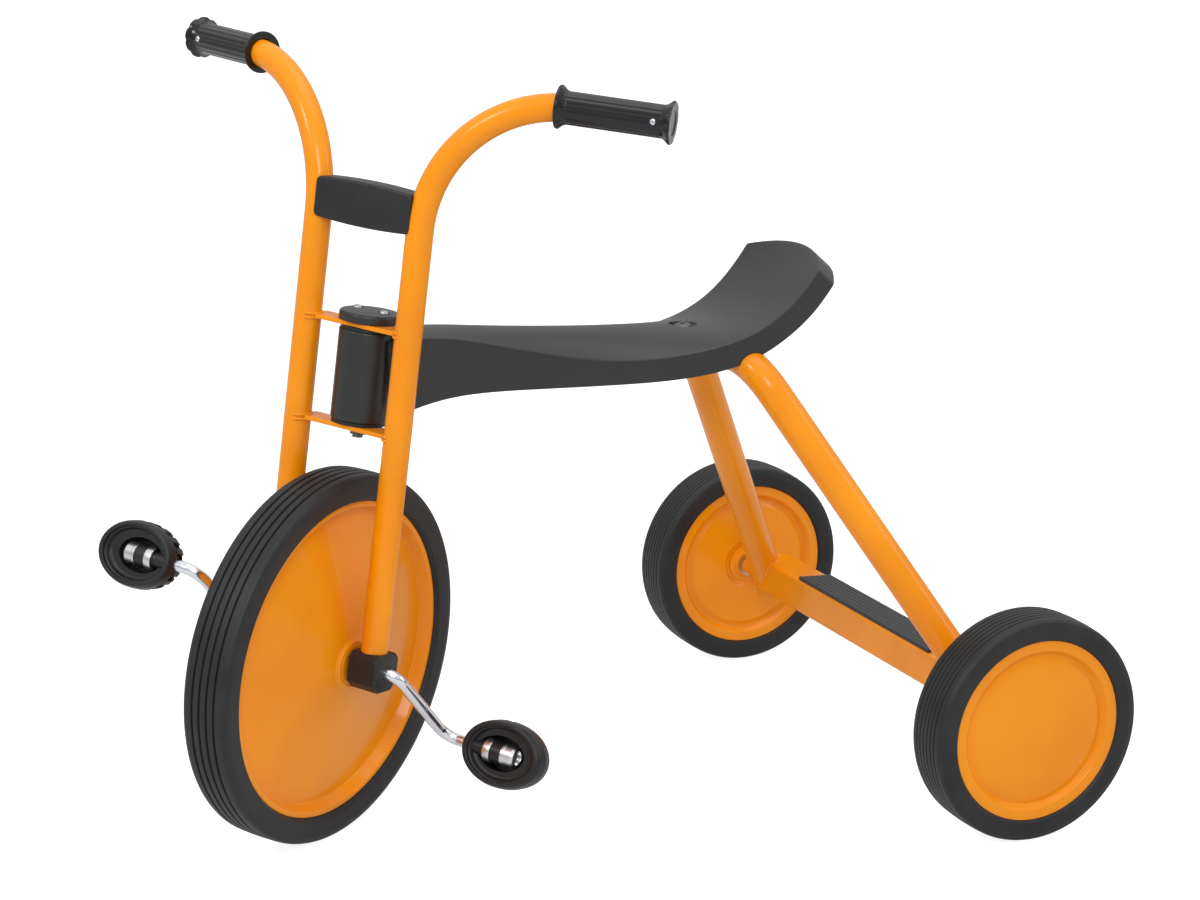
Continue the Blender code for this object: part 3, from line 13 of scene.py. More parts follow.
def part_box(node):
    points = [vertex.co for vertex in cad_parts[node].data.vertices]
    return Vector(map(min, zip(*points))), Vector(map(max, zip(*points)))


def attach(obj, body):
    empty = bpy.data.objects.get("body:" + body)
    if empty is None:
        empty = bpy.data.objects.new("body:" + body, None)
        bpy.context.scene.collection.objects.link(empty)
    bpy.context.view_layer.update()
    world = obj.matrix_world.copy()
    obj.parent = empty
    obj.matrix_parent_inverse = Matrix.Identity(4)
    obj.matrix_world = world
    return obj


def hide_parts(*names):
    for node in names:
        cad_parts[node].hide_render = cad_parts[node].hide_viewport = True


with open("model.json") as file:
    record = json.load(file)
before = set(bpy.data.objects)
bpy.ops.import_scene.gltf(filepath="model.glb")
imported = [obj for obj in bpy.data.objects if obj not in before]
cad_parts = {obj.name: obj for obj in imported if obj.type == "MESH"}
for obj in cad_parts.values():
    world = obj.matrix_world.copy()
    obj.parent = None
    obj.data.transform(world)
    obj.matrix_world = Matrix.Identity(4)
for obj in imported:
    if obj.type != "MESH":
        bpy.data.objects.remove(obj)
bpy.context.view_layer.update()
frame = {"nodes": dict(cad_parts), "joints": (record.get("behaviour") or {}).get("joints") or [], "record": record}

# Camera, fitted to the photograph, whose frame is 1200 by 900, and the point that the lights face
IMAGE_WIDTH = 1200
FOCAL_PX = 3053.74
SENSOR_WIDTH = 36
CAMERA_PLACE = Vector((1.18247, 2.55303, 1.11310))
CAMERA_DIRECTION = Vector((-0.41354, -0.87137, -0.26402))
CAMERA_ROLL_DEG = 0.073
LIGHT_AIM = Vector((0, 0, 0.3))

# Gaps between neighbouring and between pressed pieces, angle that keeps an edge crisp, weld beads
SEAT_GAP = 0.0003
PRESS_GAP = 0.0001
SHARP_DEG = 34
WELD_PASS = 0.0024
WELD_STEP = 0.0006
WELD_END_SHARE = 0.04

# Front wheel
FRONT_SIDES_IN_CAD = 32
FRONT_TYRE_WIDTH = 0.0494
FRONT_RIM_RADIUS = 0.1514
FRONT_RIM_RECESS = 0.0053
FRONT_DISH_DEPTH = 0.011
FRONT_HUB_RADIUS = 0.020
FRONT_HUB_LENGTH = 0.074
FRONT_GROOVES = 4
FRONT_GROOVE = (0.0026, 0.0024)

# Rear wheels
REAR_TYRE_WIDTH = 0.0523
REAR_RIM_RADIUS = 0.0876
REAR_RIM_RECESS = 0.0035
REAR_DISH_DEPTH = 0.006
REAR_FLOOR = REAR_TYRE_WIDTH / 2 - REAR_RIM_RECESS - REAR_DISH_DEPTH
REAR_DOME_RISE = 0.0042
REAR_DOME_POWER = 7
REAR_DOME_STEPS = 32
REAR_DISC_RISE = 0.003
REAR_HUB_RADIUS = 0.015
REAR_HUB_WALL = 0.0052
REAR_HUB_STAND = 0.006
REAR_HUB_END_GAP = 0.011
REAR_HUB_FLANGE_RADIUS = 0.020
REAR_GROOVES = 6
REAR_GROOVE = (0.0016, 0.0014)

# Tyres and pressed discs
TYRE_SHOULDER = 0.0085
SHOULDER_RUN = 0.62
TREAD_CROWN = 0.0008
GROOVE_FLOOR_SHARE = 0.28
DISC_WALL = 0.0016
FRONT_RIM_LIP = 0.005
FRONT_RIM_WALL_RUN = 0.0055
REAR_RIM_LIP = 0.0098
REAR_RIM_WALL_RUN = 0.0042
RIM_BARREL_DROP = 0.0048

# Fork and handlebar
FORK_OFFSET = 0.018
FORK_TUBE_RADIUS = 0.0127
FORK_HALF_SPAN = 0.0566
HANDLEBAR_HEIGHT = 0.5382
HANDLEBAR_BEND_RADIUS = 0.128
HANDLEBAR_REACH = 0.2142
HANDLEBAR_SWEEP_DEG = 18.3
GRIP_LENGTH = 0.1045
GRIP_RADIUS = 0.015
GRIP_FLANGE_RADIUS = 0.0196
GRIP_FLARE = 0.0062
GRIP_FLARE_RISE = 0.0012
GRIP_LIP = 0.0022
GRIP_END_WALL = 0.003
GRIP_END_DIMPLE = 0.0012
GRIP_RIBS = 18
GRIP_RIB_DEPTH = 0.0005
GRIP_RIB_FADE = (0.0065, 0.0100)
GRIP_LOBES = 9
GRIP_LOBE_DEPTH = 0.0011
GRIP_LOBE_FADE = (0.0048, 0.0030)
GRIP_SCREW_RADIUS = 0.0028
GRIP_SCREW_HEIGHT = 0.0016
GRIP_SCREW_INSET = 0.0157
GRIP_SCREW_SPOTFACE = 0.0008

# Steering head
HEAD_BELOW_TUBE = 0.0389
HEAD_LENGTH = 0.0842
HEAD_RADIUS = 0.027
HEAD_WALL = 0.0035
HEAD_BUSH_FLANGE = 0.003
YOKE_THICKNESS = 0.004
YOKE_DEPTH = 0.026
YOKE_FRONT = 0.024
YOKE_END_INSET = 0.006
YOKE_LOBE_RADIUS = 0.015
YOKE_LOBE_LEAN = 0.12
YOKE_LOBE_FILLET = 0.004
YOKE_BOLT_HOLE = 0.0053
YOKE_WELD_RADIUS = 0.0016
YOKE_WELD_SPAN_DEG = 150
YOKE_WELD_TURN_DEG = 94
CAP_RADIUS = 0.0285
CAP_HEIGHT = 0.0085
CAP_DOME = 0.002
CAP_SCREW_RADIUS = 0.0042
CAP_SCREW_SPACING = 0.030
CAP_SCREW_HEIGHT = 0.003

# Fork pad
PAD_HEIGHT = 0.041
PAD_CENTRE_HEIGHT = 0.425
PAD_HALF_LENGTH = 0.053
PAD_FRONT = 0.014
PAD_DEPTH = 0.024
PAD_CROWN = 0.004
PAD_ROUNDING = 0.005

# Axle blocks
BLOCK_ACROSS = 0.036
BLOCK_LENGTH = 0.032
BLOCK_SOCKET_DEPTH = 0.012
BLOCK_CHAMFERS = (0.0052, 0.0080)

# Crank and pedals
CRANK_RADIUS = 0.0056
CRANK_ARM_START = 0.0845
CRANK_ARM_END = 0.0945
CRANK_INNER_BEND = 0.0125
CRANK_OUTER_BEND = 0.018
PEDAL_CENTRE = 0.162
PEDAL_HALF_LENGTH = 0.0445
PEDAL_HALF_HEIGHT = 0.032
PEDAL_TURN_DEG = 28
PEDAL_FRONT = 0.012
PEDAL_BACK = 0.018
PEDAL_DISH = 0.004
PEDAL_WELL = (0.0255, 0.0165)
PEDAL_WELL_DEPTH = 0.0135
PEDAL_BOSS_RADIUS = 0.0078
PEDAL_MOUTH_RADIUS = 0.0262
PEDAL_LUG_COUNT = 18
PEDAL_LUG_PHASE_DEG = 14
PEDAL_LUG_GAP = 0.0044
PEDAL_LUG_DEPTH = 0.0044
PEDAL_LUG_REACH = 0.15
PEDAL_LUG_TOP = 0.002
PEDAL_HUB_RADIUS = 0.011
PEDAL_HUB_LENGTH = 0.0112
PEDAL_NUT_RADIUS = 0.0112
PEDAL_NUT_HEIGHT = 0.014
PEDAL_NUT_THREAD = 0.0045
PEDAL_COLLAR_RADIUS = 0.0115
PEDAL_COLLAR_LENGTH = 0.008

# Rear frame
LEG_RADIUS = 0.016
LEG_HALF_SPAN = 0.220
HOOP_FORWARD = 0.176
HOOP_HALF_SPAN = 0.068
HOOP_HEIGHT = 0.4265
HOOP_BEND_RADIUS = 0.050
LEG_TAIL = 0.020
MAIN_TUBE_RADIUS = 0.016
MAIN_TUBE_HEIGHT = 0.437
SLEEVE_RADIUS = 0.010
SLEEVE_BORE = 0.0066
SLEEVE_WELD_RADIUS = 0.0018
CROSSBAR_ROUNDING = 0.0035
CROSSBAR_WELD_RADIUS = 0.0017
CROSSBAR_WELD_REACH = 0.017
MAT_RIBS = 6
MAT_GROOVE = 0.0006
MAT_MITRE = 0.0085

# Seat: stations from the head back, as (share of the way from the hoop to the head,
# half width, then crown, edge and rim heights above the main tube's centre line, rim set back)
SEAT_STATIONS = (
    (0.9628, 0.0290, 0.0404, 0.0374, -0.0356, 0.0000),
    (0.8816, 0.0290, 0.0437, 0.0390, -0.0258, 0.0000),
    (0.7951, 0.0292, 0.0442, 0.0377, -0.0188, 0.0000),
    (0.6869, 0.0320, 0.0413, 0.0283, -0.0162, 0.0000),
    (0.5517, 0.0380, 0.0382, 0.0167, -0.0163, 0.0000),
    (0.3894, 0.0480, 0.0349, 0.0064, -0.0156, 0.0000),
    (0.2272, 0.0570, 0.0316, 0.0081, -0.0144, 0.0000),
    (0.0919, 0.0630, 0.0285, 0.0165, -0.0085, 0.0020),
    (0.0054, 0.0670, 0.0284, 0.0264, 0.0024, 0.0060),
    (-0.0703, 0.0700, 0.0375, 0.0415, 0.0195, 0.0090),
    (-0.1379, 0.0730, 0.0585, 0.0645, 0.0435, 0.0130),
)
SEAT_REAR_EDGE = (-0.2434, 0.0975)
SEAT_REAR_CORNER = (-0.1785, 0.0730, 0.0855)
SEAT_REAR_THICKNESS = 0.024
SEAT_REAR_LEAN_DEG = 48
SEAT_CROWN_POWER = 2.2
SEAT_CROWN_SHARES = (0.0, 0.58, 1.0)
SEAT_SIDE_DRAFT = 0.002
SEAT_WALL = 0.004
SEAT_CREASE = 0.55
SEAT_REAR_CREASE = 0.90
SEAT_SHARP_DEG = 38
SEAT_BOLT_SHARE = 0.1122
SEAT_BOLT_HEAD_RADIUS = 0.0085
SEAT_BOLT_HEAD_HEIGHT = 0.003
SEAT_BOLT_SOCKET = 0.0029
SEAT_RECESS_RADIUS = 0.013
SEAT_RECESS_DEPTH = 0.004


# Frames of the moving bodies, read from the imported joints

def three_axes(origin, x_axis, y_axis, z_axis):
    matrix = Matrix((x_axis, y_axis, z_axis)).transposed().to_4x4()
    matrix.translation = Vector(origin)
    return matrix


def axis_frame(joint, side):
    """Right-handed frame at a joint: Z along its axis, Y as near `side` as it can be."""
    z_axis = Vector(joint["axis"]).normalized()
    x_axis = Vector(side).cross(z_axis).normalized()
    return three_axes(joint["pos_m"], x_axis, z_axis.cross(x_axis), z_axis)


def hub_frame(wheel, pedal):
    """Frame fast in the crank: Y along the axle, -X from the hub to the left spindle."""
    y_axis = Vector(wheel["axis"]).normalized()
    arm = Vector(pedal["pos_m"]) - Vector(wheel["pos_m"])
    x_axis = -(arm - y_axis * arm.dot(y_axis)).normalized()
    return three_axes(wheel["pos_m"], x_axis, y_axis, x_axis.cross(y_axis))


joints = {joint["name"]: joint for joint in frame["joints"]}
front_spin = joints["front_wheel_spin"]
pedal_spin = joints["left_pedal_spin"]
HEAD = axis_frame(joints["steering"], (0, 1, 0))
FORK = axis_frame(joints["steering"], front_spin["axis"])
HUB = hub_frame(front_spin, pedal_spin)
CRANK_THROW = -(HUB.inverted() @ Vector(pedal_spin["pos_m"])).x
REAR_AXLE = Vector(joints["left_rear_wheel_spin"]["pos_m"])
UP = Vector((0, 0, 1))
WORLD = Matrix.Identity(4)
SIDES = ((1, "left"), (-1, "right"))


def moved(x=0, y=0, z=0):
    return Matrix.Translation((x, y, z))


def quarter_turn(axis):
    return Matrix.Rotation(math.pi / 2, 4, axis)


def outboard(matrix, side):
    """The matrix turned so that its Z runs along its old Y, away from the centre."""
    return matrix @ Matrix.Rotation(-side * math.pi / 2, 4, "X")


def on_fork_tube(side, height):
    """Frame on the straight part of a fork tube's centre line, Z along it."""
    return FORK @ moved(FORK_OFFSET, side * FORK_HALF_SPAN, height)


def cad_turned_radius(node, matrix, sides):
    """Radius of the circle that fits inside a CAD turning of so many sides, about the matrix's Y."""
    inverse = matrix.inverted()
    points = [inverse @ vertex.co for vertex in frame["nodes"][node].data.vertices]
    return max(math.hypot(point.x, point.z) for point in points) * math.cos(math.pi / sides)


# Materials

def new_material(name):
    material = bpy.data.materials.new(name)
    material.use_nodes = True
    tree = material.node_tree
    return material, tree, tree.nodes["Principled BSDF"]


def set_inputs(node, values):
    for key, value in values.items():
        node.inputs[key].default_value = value


def texture(tree, kind, values):
    """A procedural texture in the piece's own coordinates, in metres."""
    place = tree.nodes.new("ShaderNodeTexCoord")
    pattern = tree.nodes.new(kind)
    set_inputs(pattern, values)
    tree.links.new(place.outputs["Object"], pattern.inputs["Vector"])
    return pattern


def noise(tree, scale, detail, fineness=0.5):
    values = {"Scale": scale, "Detail": detail, "Roughness": fineness}
    return texture(tree, "ShaderNodeTexNoise", values).outputs["Fac"]


def remap(tree, value, low, high, from_low=0.0, from_high=1.0):
    node = tree.nodes.new("ShaderNodeMapRange")
    set_inputs(node, {"From Min": from_low, "From Max": from_high, "To Min": low, "To Max": high})
    tree.links.new(value, node.inputs["Value"])
    return node.outputs["Result"]


def blend_colours(tree, factor, first, second):
    node = tree.nodes.new("ShaderNodeMix")
    node.data_type = "RGBA"
    set_inputs(node, {"A": (*first, 1), "B": (*second, 1)})
    tree.links.new(factor, node.inputs["Factor"])
    return node.outputs["Result"]


def bump(tree, shader, height, distance, strength, before=None):
    node = tree.nodes.new("ShaderNodeBump")
    set_inputs(node, {"Distance": distance, "Strength": strength})
    tree.links.new(height, node.inputs["Height"])
    if before:
        tree.links.new(before, node.inputs["Normal"])
    tree.links.new(node.outputs["Normal"], shader.inputs["Normal"])
    return node.outputs["Normal"]


def mottled(name, clouds, contrast, dark, light, roughness):
    """A material whose colour and roughness drift with clouds of (scale, detail, fineness)."""
    material, tree, shader = new_material(name)
    cloud = noise(tree, *clouds)
    shades = remap(tree, cloud, 0.0, 1.0, *contrast)
    tree.links.new(blend_colours(tree, shades, dark, light), shader.inputs["Base Color"])
    tree.links.new(remap(tree, cloud, *roughness), shader.inputs["Roughness"])
    return material, tree, shader


def powder_coat():
    """Glossy yellow-orange powder coat with faint orange peel and cloudiness."""
    material, tree, shader = mottled("powder_coat_yellow", (9, 3, 0.5), (0.35, 0.65),
                                     (0.80, 0.248, 0.002), (0.88, 0.292, 0.003), (0.28, 0.38))
    bump(tree, shader, noise(tree, 420, 2), 0.00006, 0.5)
    set_inputs(shader, {"Specular IOR Level": 0.14, "Coat Weight": 0.32, "Coat Roughness": 0.10,
                        "Coat IOR": 1.5})
    return material


def moulded_plastic(name, dark, light, roughness, grain_scale, grain_depth, gloss=0.40):
    """Plain dark plastic, vinyl or rubber with a fine moulded grain and faint handling marks."""
    material, tree, shader = mottled(name, (14, 4, 0.6), (0.35, 0.65), dark, light, roughness)
    bump(tree, shader, noise(tree, grain_scale, 3, 0.65), grain_depth, 0.6)
    set_inputs(shader, {"Specular IOR Level": gloss})
    return material


def seat_plastic():
    """Charcoal moulded seat: pebbled grain and soft mottling from the mould."""
    material, tree, shader = mottled("seat_charcoal", (11, 5, 0.6), (0.3, 0.7),
                                     (0.014, 0.0143, 0.0165), (0.022, 0.0225, 0.0255), (0.26, 0.46))
    pebbles = texture(tree, "ShaderNodeTexVoronoi", {"Scale": 620, "Randomness": 1})
    pebbled = bump(tree, shader, pebbles.outputs["Distance"], 0.00022, 0.35)
    bump(tree, shader, noise(tree, 1500, 2), 0.00005, 0.4, pebbled)
    return material


def tyre_rubber():
    """Solid rubber: dark, slightly dusty in patches, with a faint mould texture."""
    material, tree, shader = mottled("tyre_rubber", (22, 6, 0.65), (0.35, 0.75),
                                     (0.013, 0.014, 0.015), (0.023, 0.024, 0.025), (0.40, 0.56))
    bump(tree, shader, noise(tree, 900, 3), 0.00008, 0.5)
    set_inputs(shader, {"Specular IOR Level": 0.30})
    return material


def plated(name, colour, roughness, wear):
    """Bright, satin or dark plated metal with fine wear in its gloss."""
    darker = tuple(channel * 0.9 for channel in colour)
    material, tree, shader = mottled(name, (60, 4, 0.5), (0.3, 0.7), darker, colour, roughness)
    set_inputs(shader, {"Metallic": 1})
    bump(tree, shader, noise(tree, 800, 2), wear, 0.5)
    return material


MATERIALS = {
    "yellow_paint": powder_coat(),
    "black_plastic": moulded_plastic("black_moulding", (0.009, 0.0095, 0.011), (0.014, 0.0145, 0.016),
                                     (0.34, 0.46), 900, 0.00007),
    "seat_plastic": seat_plastic(),
    "black_rubber": tyre_rubber(),
    "grip_vinyl": moulded_plastic("grip_vinyl", (0.004, 0.0045, 0.0055), (0.006, 0.0065, 0.0075),
                                  (0.12, 0.20), 1200, 0.00002, 0.45),
    "gloss_black": moulded_plastic("gloss_black", (0.015, 0.017, 0.0165), (0.021, 0.023, 0.0225),
                                   (0.30, 0.40), 700, 0.00004, 0.45),
    "mat_rubber": moulded_plastic("mat_rubber", (0.020, 0.024, 0.028), (0.032, 0.037, 0.042),
                                  (0.40, 0.55), 900, 0.00008),
    "satin_chrome": plated("satin_chrome", (0.74, 0.75, 0.77), (0.24, 0.36), 0.00002),
    "dark_zinc": plated("dark_zinc", (0.16, 0.16, 0.17), (0.36, 0.50), 0.00003),
    "chrome": plated("chrome_plate", (0.82, 0.85, 0.92), (0.13, 0.22), 0.00001),
    "steel": plated("zinc_plate", (0.58, 0.58, 0.60), (0.26, 0.42), 0.00004),
    "nylon": moulded_plastic("dark_nylon", (0.060, 0.056, 0.050), (0.080, 0.075, 0.068), (0.40, 0.50),
                             900, 0.00004),
}


# Outlines and paths

def smoothstep(low, high, value):
    share = min(1.0, max(0.0, (value - low) / (high - low)))
    return share * share * (3 - 2 * share)


def eased(corners, steps, closed=False):
    """The outline with each corner (across, up, radius) turned into an arc of that radius."""
    points = []
    count = len(corners)
    for index, corner in enumerate(corners):
        here = Vector(corner[:2])
        radius = corner[2] if len(corner) > 2 else 0.0
        before = Vector(corners[index - 1][:2]) - here
        after = Vector(corners[(index + 1) % count][:2]) - here
        opening = before.angle(after, math.pi)
        at_end = not closed and index in (0, count - 1)
        if radius <= 0 or at_end or opening > math.pi - 0.02:
            points.append(here)
            continue
        run = min(radius / math.tan(opening / 2), 0.48 * before.length, 0.48 * after.length)
        first = here + before.normalized() * run
        last = here + after.normalized() * run
        for step in range(steps + 1):
            share = step / steps
            points.append(first.lerp(here, share).lerp(here.lerp(last, share), share))
    return [(point.x, point.y) for point in points]


def refine(points, longest):
    """The open line with points added so that no step is longer than the given length."""
    points = [Vector(point) for point in points]
    result = points[:1]
    for before, after in zip(points, points[1:]):
        pieces = max(1, math.ceil((after - before).length / longest))
        for step in range(1, pieces + 1):
            result.append(before.lerp(after, step / pieces))
    return result


def rounded_path(corners, radii, arc_steps):
    """Straight runs between the corners, joined by arcs of the given bend radii."""
    points = [corners[0].copy()]
    for before, corner, after, radius in zip(corners, corners[1:], corners[2:], radii):
        heading = (corner - before).normalized()
        leaving = (after - corner).normalized()
        turn_angle = heading.angle(leaving)
        centre = corner + (leaving - heading).normalized() * (radius / math.cos(turn_angle / 2))
        spoke = corner - heading * (radius * math.tan(turn_angle / 2)) - centre
        axis = heading.cross(leaving).normalized()
        for step in range(arc_steps + 1):
            swing = Matrix.Rotation(turn_angle * step / arc_steps, 3, axis)
            points.append(centre + swing @ spoke)
    points.append(corners[-1].copy())
    return points


# Meshes, pieces and cuts

def linked(name, data):
    item = bpy.data.objects.new(name, data)
    bpy.context.scene.collection.objects.link(item)
    return item


def to_mesh(form):
    mesh = bpy.data.meshes.new("mesh")
    form.to_mesh(mesh)
    form.free()
    return mesh


def smooth(mesh, sharp_deg=SHARP_DEG):
    mesh.shade_smooth()
    mesh.set_sharp_from_angle(angle=math.radians(sharp_deg))
    return mesh


def finish_mesh(form):
    bmesh.ops.remove_doubles(form, verts=form.verts, dist=0.000005)
    bmesh.ops.recalc_face_normals(form, faces=form.faces)
    return smooth(to_mesh(form))


def lathe(profile, sides, closed, wave=None):
    """A turned mesh about Z; wave(radius, height, angle) may reshape the radius."""
    form = bmesh.new()
    rings = []
    for radius, height in profile:
        if radius < 1e-6:
            rings.append([form.verts.new((0, 0, height))])
            continue
        ring = []
        for step in range(sides):
            angle = math.tau * step / sides
            reach = wave(radius, height, angle) if wave else radius
            ring.append(form.verts.new((reach * math.cos(angle), reach * math.sin(angle), height)))
        rings.append(ring)
    if closed:
        rings.append(rings[0])
    for upper, lower in zip(rings, rings[1:]):
        for step in range(sides):
            following = (step + 1) % sides
            corners = [upper[step % len(upper)], lower[step % len(lower)],
                       lower[following % len(lower)], upper[following % len(upper)]]
            corners = list(dict.fromkeys(corners))
            if len(corners) > 2:
                form.faces.new(corners)
    return finish_mesh(form)


def turned(corners, arc_steps, sides, closed=True):
    """A turned mesh from an outline whose corners are eased."""
    return lathe(eased(corners, arc_steps, closed), sides, closed)


def tube_mesh(bore, radius, low, high, ease, arc_steps=3, sides=64):
    """A short straight tube along Z, its outer rims eased."""
    return turned([(bore, high), (radius, high, ease), (radius, low, ease), (bore, low)], arc_steps, sides)


def cylinder_tool(radius, length, sides=64):
    half = length / 2
    return lathe([(0, half), (radius, half), (radius, -half), (0, -half)], sides, closed=False)


def join_rings(form, first, second):
    count = len(first)
    for step in range(count):
        following = (step + 1) % count
        form.faces.new((first[step], first[following], second[following], second[step]))


def cap_end(form, rim, centre, outward, radius, ease):
    """A flat end with an eased rim, just inside the rod's length."""
    inner = []
    for vertex in rim:
        inner.append(form.verts.new(centre + (vertex.co - centre) * (1 - ease / radius)))
        vertex.co -= outward * ease
    join_rings(form, rim, inner)
    form.faces.new(inner)


def sweep(path, radius, sides=48, end_ease=0.0012, ripple=None):
    """A round rod along the path, its section carried without twist."""
    form = bmesh.new()
    last = len(path) - 1
    headings = []
    for index in range(last + 1):
        headings.append((path[min(index + 1, last)] - path[max(index - 1, 0)]).normalized())
    across = headings[0].orthogonal().normalized()
    rings = []
    for index, (point, heading) in enumerate(zip(path, headings)):
        across = (across - heading * across.dot(heading)).normalized()
        aside = heading.cross(across)
        size = radius * (ripple(index / last) if ripple else 1.0)
        ring = []
        for step in range(sides):
            angle = math.tau * step / sides
            ring.append(form.verts.new(point + (across * math.cos(angle) + aside * math.sin(angle)) * size))
        rings.append(ring)
    cap_end(form, rings[0], path[0], -headings[0], radius, end_ease)
    cap_end(form, rings[-1], path[-1], headings[-1], radius, end_ease)
    for first, second in zip(rings, rings[1:]):
        join_rings(form, first, second)
    return finish_mesh(form)


def extruded(outline, depth, rounding=0.0, segments=1):
    """A prism along Z from a flat outline, centred on its origin, its edges rounded if asked."""
    form = bmesh.new()
    face = form.faces.new([form.verts.new((x, y, -depth / 2)) for x, y in outline])
    pushed = bmesh.ops.extrude_face_region(form, geom=[face])
    raised = [entry for entry in pushed["geom"] if isinstance(entry, bmesh.types.BMVert)]
    bmesh.ops.translate(form, verts=raised, vec=(0, 0, depth))
    bmesh.ops.recalc_face_normals(form, faces=form.faces)
    if rounding:
        sharp = [edge for edge in form.edges if edge.calc_face_angle(0) > math.radians(40)]
        bmesh.ops.bevel(form, geom=sharp, offset=rounding, segments=segments, profile=0.5,
                        affect="EDGES", clamp_overlap=True)
    return finish_mesh(form)


def bar_tool(half_x, half_y, depth):
    return extruded([(-half_x, -half_y), (half_x, -half_y), (half_x, half_y), (-half_x, half_y)], depth)


def evaluated(item):
    """The object's mesh with its modifiers applied; the object goes."""
    bpy.context.view_layer.update()
    graph = bpy.context.evaluated_depsgraph_get()
    mesh = bpy.data.meshes.new_from_object(item.evaluated_get(graph))
    bpy.data.objects.remove(item, do_unlink=True)
    return mesh


def cut(mesh, matrix, tools, operation="DIFFERENCE", sharp_deg=SHARP_DEG):
    """The mesh, in its own axes, after Booleans with (tool mesh, tool matrix) pairs."""
    body = linked("being_cut", mesh)
    body.matrix_world = matrix
    helpers = []
    for tool_mesh, tool_matrix in tools:
        helper = linked("tool", tool_mesh)
        helper.matrix_world = tool_matrix
        helpers.append(helper)
        modifier = body.modifiers.new("cut", "BOOLEAN")
        modifier.operation = operation
        modifier.solver = "MANIFOLD"
        modifier.object = helper
    result = evaluated(body)
    for helper in helpers:
        bpy.data.objects.remove(helper, do_unlink=True)
    return smooth(result, sharp_deg)


def piece(name, mesh, body, slot, replaces, matrix=WORLD, look=None):
    """One visible piece: placed, finished like its slot or a look of its own, riding on its body."""
    mesh.name = name
    mesh.transform(matrix)
    mesh.materials.clear()
    mesh.materials.append(MATERIALS[look or slot])
    item = linked(name, mesh)
    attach(item, body)
    if replaces:
        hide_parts(*replaces)


def weld(name, points, radius, body, matrix=WORLD):
    """A weld bead along the points, with the faint ripples of its passes."""
    length = sum(math.dist(first, second) for first, second in zip(points, points[1:]))
    passes = max(3, round(length / WELD_PASS))

    def ripple(share):
        ends = smoothstep(0, WELD_END_SHARE, share) * smoothstep(0, WELD_END_SHARE, 1 - share)
        return (0.86 + 0.14 * abs(math.sin(math.pi * passes * share))) * (0.55 + 0.45 * ends)

    bead = sweep(refine(points, WELD_STEP), radius, 12, 0.0003, ripple)
    piece(name, bead, body, "yellow_paint", (), matrix)


# Wheels

def tyre_mesh(radius, width, rim_radius, rim_recess, groove_count, groove, sides):
    """Tyre with a bead that holds the discs' lips, a rounded shoulder and a grooved tread."""
    half = width / 2
    lip_side = half - rim_recess
    lip_radius = rim_radius + SEAT_GAP
    seat_radius = rim_radius - RIM_BARREL_DROP + SEAT_GAP
    flat = half - TYRE_SHOULDER * SHOULDER_RUN
    side = [(seat_radius, 0), (seat_radius, lip_side - 3 * DISC_WALL), (lip_radius, lip_side - DISC_WALL),
            (lip_radius, lip_side + 0.0004, 0.0006), (rim_radius + 0.6 * rim_recess, half - 0.0008, 0.0016),
            (radius - 0.5 * TYRE_SHOULDER - 0.004, half, 0.006),
            (radius - 0.28 * TYRE_SHOULDER, half - 0.0016, 0.003), (radius - TREAD_CROWN, flat, 0.0022)]
    tread = []
    wide, deep = groove
    floor = wide * GROOVE_FLOOR_SHARE
    pitch = 2 * (half - TYRE_SHOULDER) / groove_count
    for index in range(groove_count):
        middle = pitch * ((groove_count - 1) / 2 - index)
        crown = radius - TREAD_CROWN * (middle / flat) ** 2
        tread += [(crown, middle + wide / 2, 0.0004), (crown - deep, middle + floor, 0.0004),
                  (crown - deep, middle - floor, 0.0004), (crown, middle - wide / 2, 0.0004)]
    other = [(corner[0], -corner[1], *corner[2:]) for corner in reversed(side[1:])]
    return turned(side + tread + other, 4, sides)


def disc_outline(rim_radius, lip_height, dish_depth, lip, wall_run):
    """Half wheel pressing: the back, from the floor round under the lip, and the face, lip to floor."""
    barrel = rim_radius - RIM_BARREL_DROP
    floor_radius = rim_radius - lip - wall_run
    floor = lip_height - dish_depth
    back = [(floor_radius - 0.002, floor - DISC_WALL, 0.002), (barrel - DISC_WALL, floor - DISC_WALL, 0.002),
            (barrel - DISC_WALL, SEAT_GAP / 2), (barrel, SEAT_GAP / 2),
            (barrel, lip_height - 2 * DISC_WALL, 0.001), (rim_radius, lip_height - DISC_WALL, 0.0004)]
    face = [(rim_radius, lip_height, 0.0012), (rim_radius - lip, lip_height, 0.0015),
            (floor_radius, floor, 0.0022)]
    return back, face


def front_disc_mesh():
    """Lip, steep wall, then a shallow cone rising to the collar on the hub."""
    back, face = disc_outline(FRONT_RIM_RADIUS, FRONT_TYRE_WIDTH / 2 - FRONT_RIM_RECESS, FRONT_DISH_DEPTH,
                              FRONT_RIM_LIP, FRONT_RIM_WALL_RUN)
    bore = FRONT_HUB_RADIUS + SEAT_GAP
    top = FRONT_HUB_LENGTH / 2 - 2 * SEAT_GAP
    collar = [(bore + 3 * DISC_WALL, top - 2 * DISC_WALL, 0.004), (bore + 1.2 * DISC_WALL, top, 0.0015),
              (bore, top), (bore, top - 2.4 * DISC_WALL)]
    return turned(face + collar + back, 5, 160)


def rear_disc_outline():
    return disc_outline(REAR_RIM_RADIUS, REAR_TYRE_WIDTH / 2 - REAR_RIM_RECESS, REAR_DISH_DEPTH,
                        REAR_RIM_LIP, REAR_RIM_WALL_RUN)


